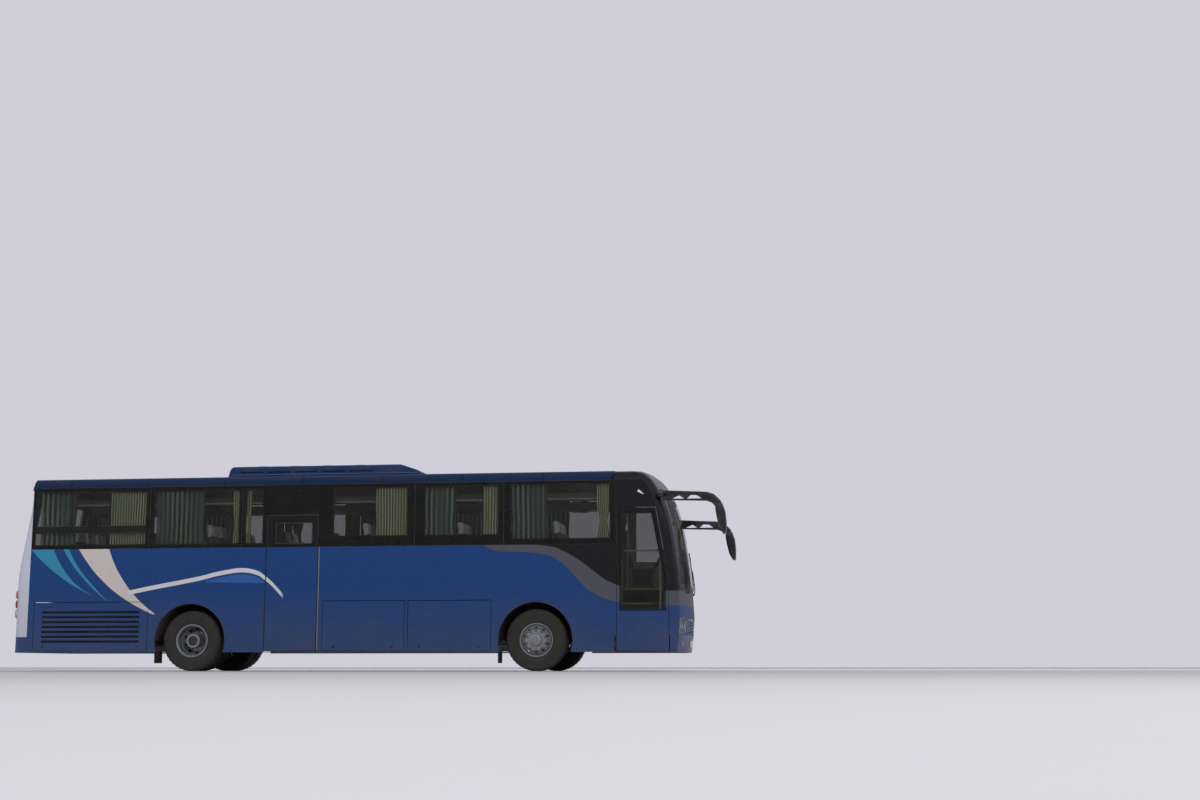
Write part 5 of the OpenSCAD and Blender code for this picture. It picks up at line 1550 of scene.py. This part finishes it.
lines = [rod((start, y, z), (end, y, z), r, 8) for y, z, r, start, end in
         ((-0.352, 0.90, 0.007, 2.9, 11.4), (-0.352, 0.87, 0.007, 2.9, 9.3),
          (0.350, 0.90, 0.009, 2.3, 11.4), (0.352, 0.86, 0.006, 3.2, 9.4))]
lines += [block((x, y - 0.012, 0.85), (x + 0.02, y + 0.012, 0.915), 0.002, 1)
          for x in spread(3.1, 10.7, 8) for y in (-0.356, 0.356)]
finish(lines, "brake_lines", blackPlastic)
print("brakes and dampers fitted")


# ---- engine: pulleys and belt behind the tail door, covers, sump, canisters, hoses

engine = {"face": 0.48, "top": sill - 0.27}
x, top = engine["face"], engine["top"]
pulleys = []
for y, z, r in ((0.0, 0.62, 0.10), (0.18, 0.80, 0.055), (-0.17, 0.86, 0.075),
                (0.02, 0.98, 0.06)):
    pulleys += [rod((x + start, y, z), (x + end, y, z), r * share, count, edge=edge)
                for start, end, share, count, edge in (
                    (-0.050, -0.036, 1, 30, 0.002), (-0.036, -0.024, 0.86, 30, 0),
                    (-0.024, -0.010, 1, 30, 0.002), (-0.060, 0.01, 0.35, 18, 0))]
finish(pulleys, "engine_pulleys", steelFrame)
belt = ((0.098, 0.60), (0.232, 0.785), (0.20, 0.850), (0.06, 1.035), (-0.04, 1.03),
        (-0.245, 0.875), (-0.225, 0.80), (-0.085, 0.56), (0.0, 0.524), (0.075, 0.545))
finish(pipe([(x - 0.030, y, z) for y, z in belt], 0.007, 1, closed=True), "engine_belt",
       sealRubber)
finish([block((0.62, -0.20, top - 0.01), (1.58, 0.20, top + 0.085), 0.03, 3),
        block((0.72, -0.24, 0.405), (1.46, 0.24, 0.49), 0.03, 3),
        rod((1.72, 0, 0.66), (1.95, 0, 0.66), 0.27, 40, edge=0.01)]
       + [rod((x, -0.415, 0.62), (x, -0.415, 0.90), 0.055, 22, edge=0.01)
          for x in (0.80, 1.02)]
       + [block((x, -0.21, top + 0.06), (x + 0.02, 0.21, top + 0.098), 0.004, 1)
          for x in spread(0.70, 1.38, 4)], "engine_covers", castIron)
finish([pipe([(1.1, 0.36, 1.02), (1.12, 0.62, 1.08), (1.2, 0.92, 1.08), (1.25, 1.04, 1.06)],
             0.028),
        pipe([(1.0, 0.36, 0.62), (1.1, 0.60, 0.57), (1.3, 0.90, 0.56), (1.4, 1.04, 0.56)],
             0.028),
        pipe([(0.9, -0.34, 1.06), (0.86, -0.60, 1.16), (0.82, -0.86, 1.18),
              (0.8, -1.02, 1.10)], 0.04),
        rod((0.62, -1.04, 1.02), (1.10, -1.04, 1.02), 0.13, 30, edge=0.015)],
       "engine_hoses", sealRubber)
finish([rod((x, -1.04, 1.14), (x, -1.04, 1.382), 0.012, 8) for x in (0.72, 1.0)],
       "filter_hangers", steelFrame)
print("engine dressed")


# ---- the shoulder that closes the roof and the walls onto the raked tail

shoulder = {"start": 0.30, "spare": 1.9, "least": 0.02, "steps": 8, "thick": 0.004,
            "proud": 0.003}


# where each curve starts on the body's outline and where it ends on the tail, in y and z
def shoulderStations():
    stations, half = [], coach["half"]
    for z in (2.0, 2.15, 2.3, 2.5, 2.7, 2.9, 3.05, 3.15):
        gap = 0.0
        while tailX(half - gap, z) > shoulder["start"]:
            gap += 0.001
        stations.append((half, z, half - gap * shoulder["spare"] - shoulder["least"], z))
    for b in spread(0, math.pi / 2, 8):
        stations.append((1.105 + 0.17 * math.cos(b), 3.21 + 0.17 * math.sin(b),
                         1.045 + 0.05 * math.cos(b), 3.19 + 0.05 * math.sin(b)))
    return stations + [(1.105 * (1 - i / 6), 3.38 + 0.04 * i / 6, 1.045 * (1 - i / 6),
                        3.24 - 0.02 * i / 6) for i in range(1, 7)]


def shoulderCurve(y1, z1, y2, z2):
    start, end, curve = shoulder["start"], tailX(y2, z2), []
    before = tailX(y2 + (y1 - y2) * 0.02, z2 + (z1 - z2) * 0.02)
    knee = min(max(end + (before - end) * 50, end), start - 0.004)
    for t in spread(0, 1, shoulder["steps"]):
        x = (1 - t) ** 2 * start + 2 * t * (1 - t) * knee + t * t * end
        curve.append((x - shoulder["proud"] * min(1, 6 * t), y1 + (y2 - y1) * t * t,
                      z1 + (z2 - z1) * t * t))
    return curve


rows = [shoulderCurve(*station) for station in shoulderStations()]
rows += [[(x, -y, z) for x, y, z in row] for row in reversed(rows[:-1])]
rearShoulder = surface(rows)
if sum(face.normal.x for face in rearShoulder.data.polygons) > 0:
    edited(rearShoulder, bpy.ops.mesh.flip_normals)
useModifier(rearShoulder, "SOLIDIFY", thickness=shoulder["thick"], offset=-1)
finish(rearShoulder, "rear_shoulder", tailPaint, smooth=30)
print("rear shoulder closed")
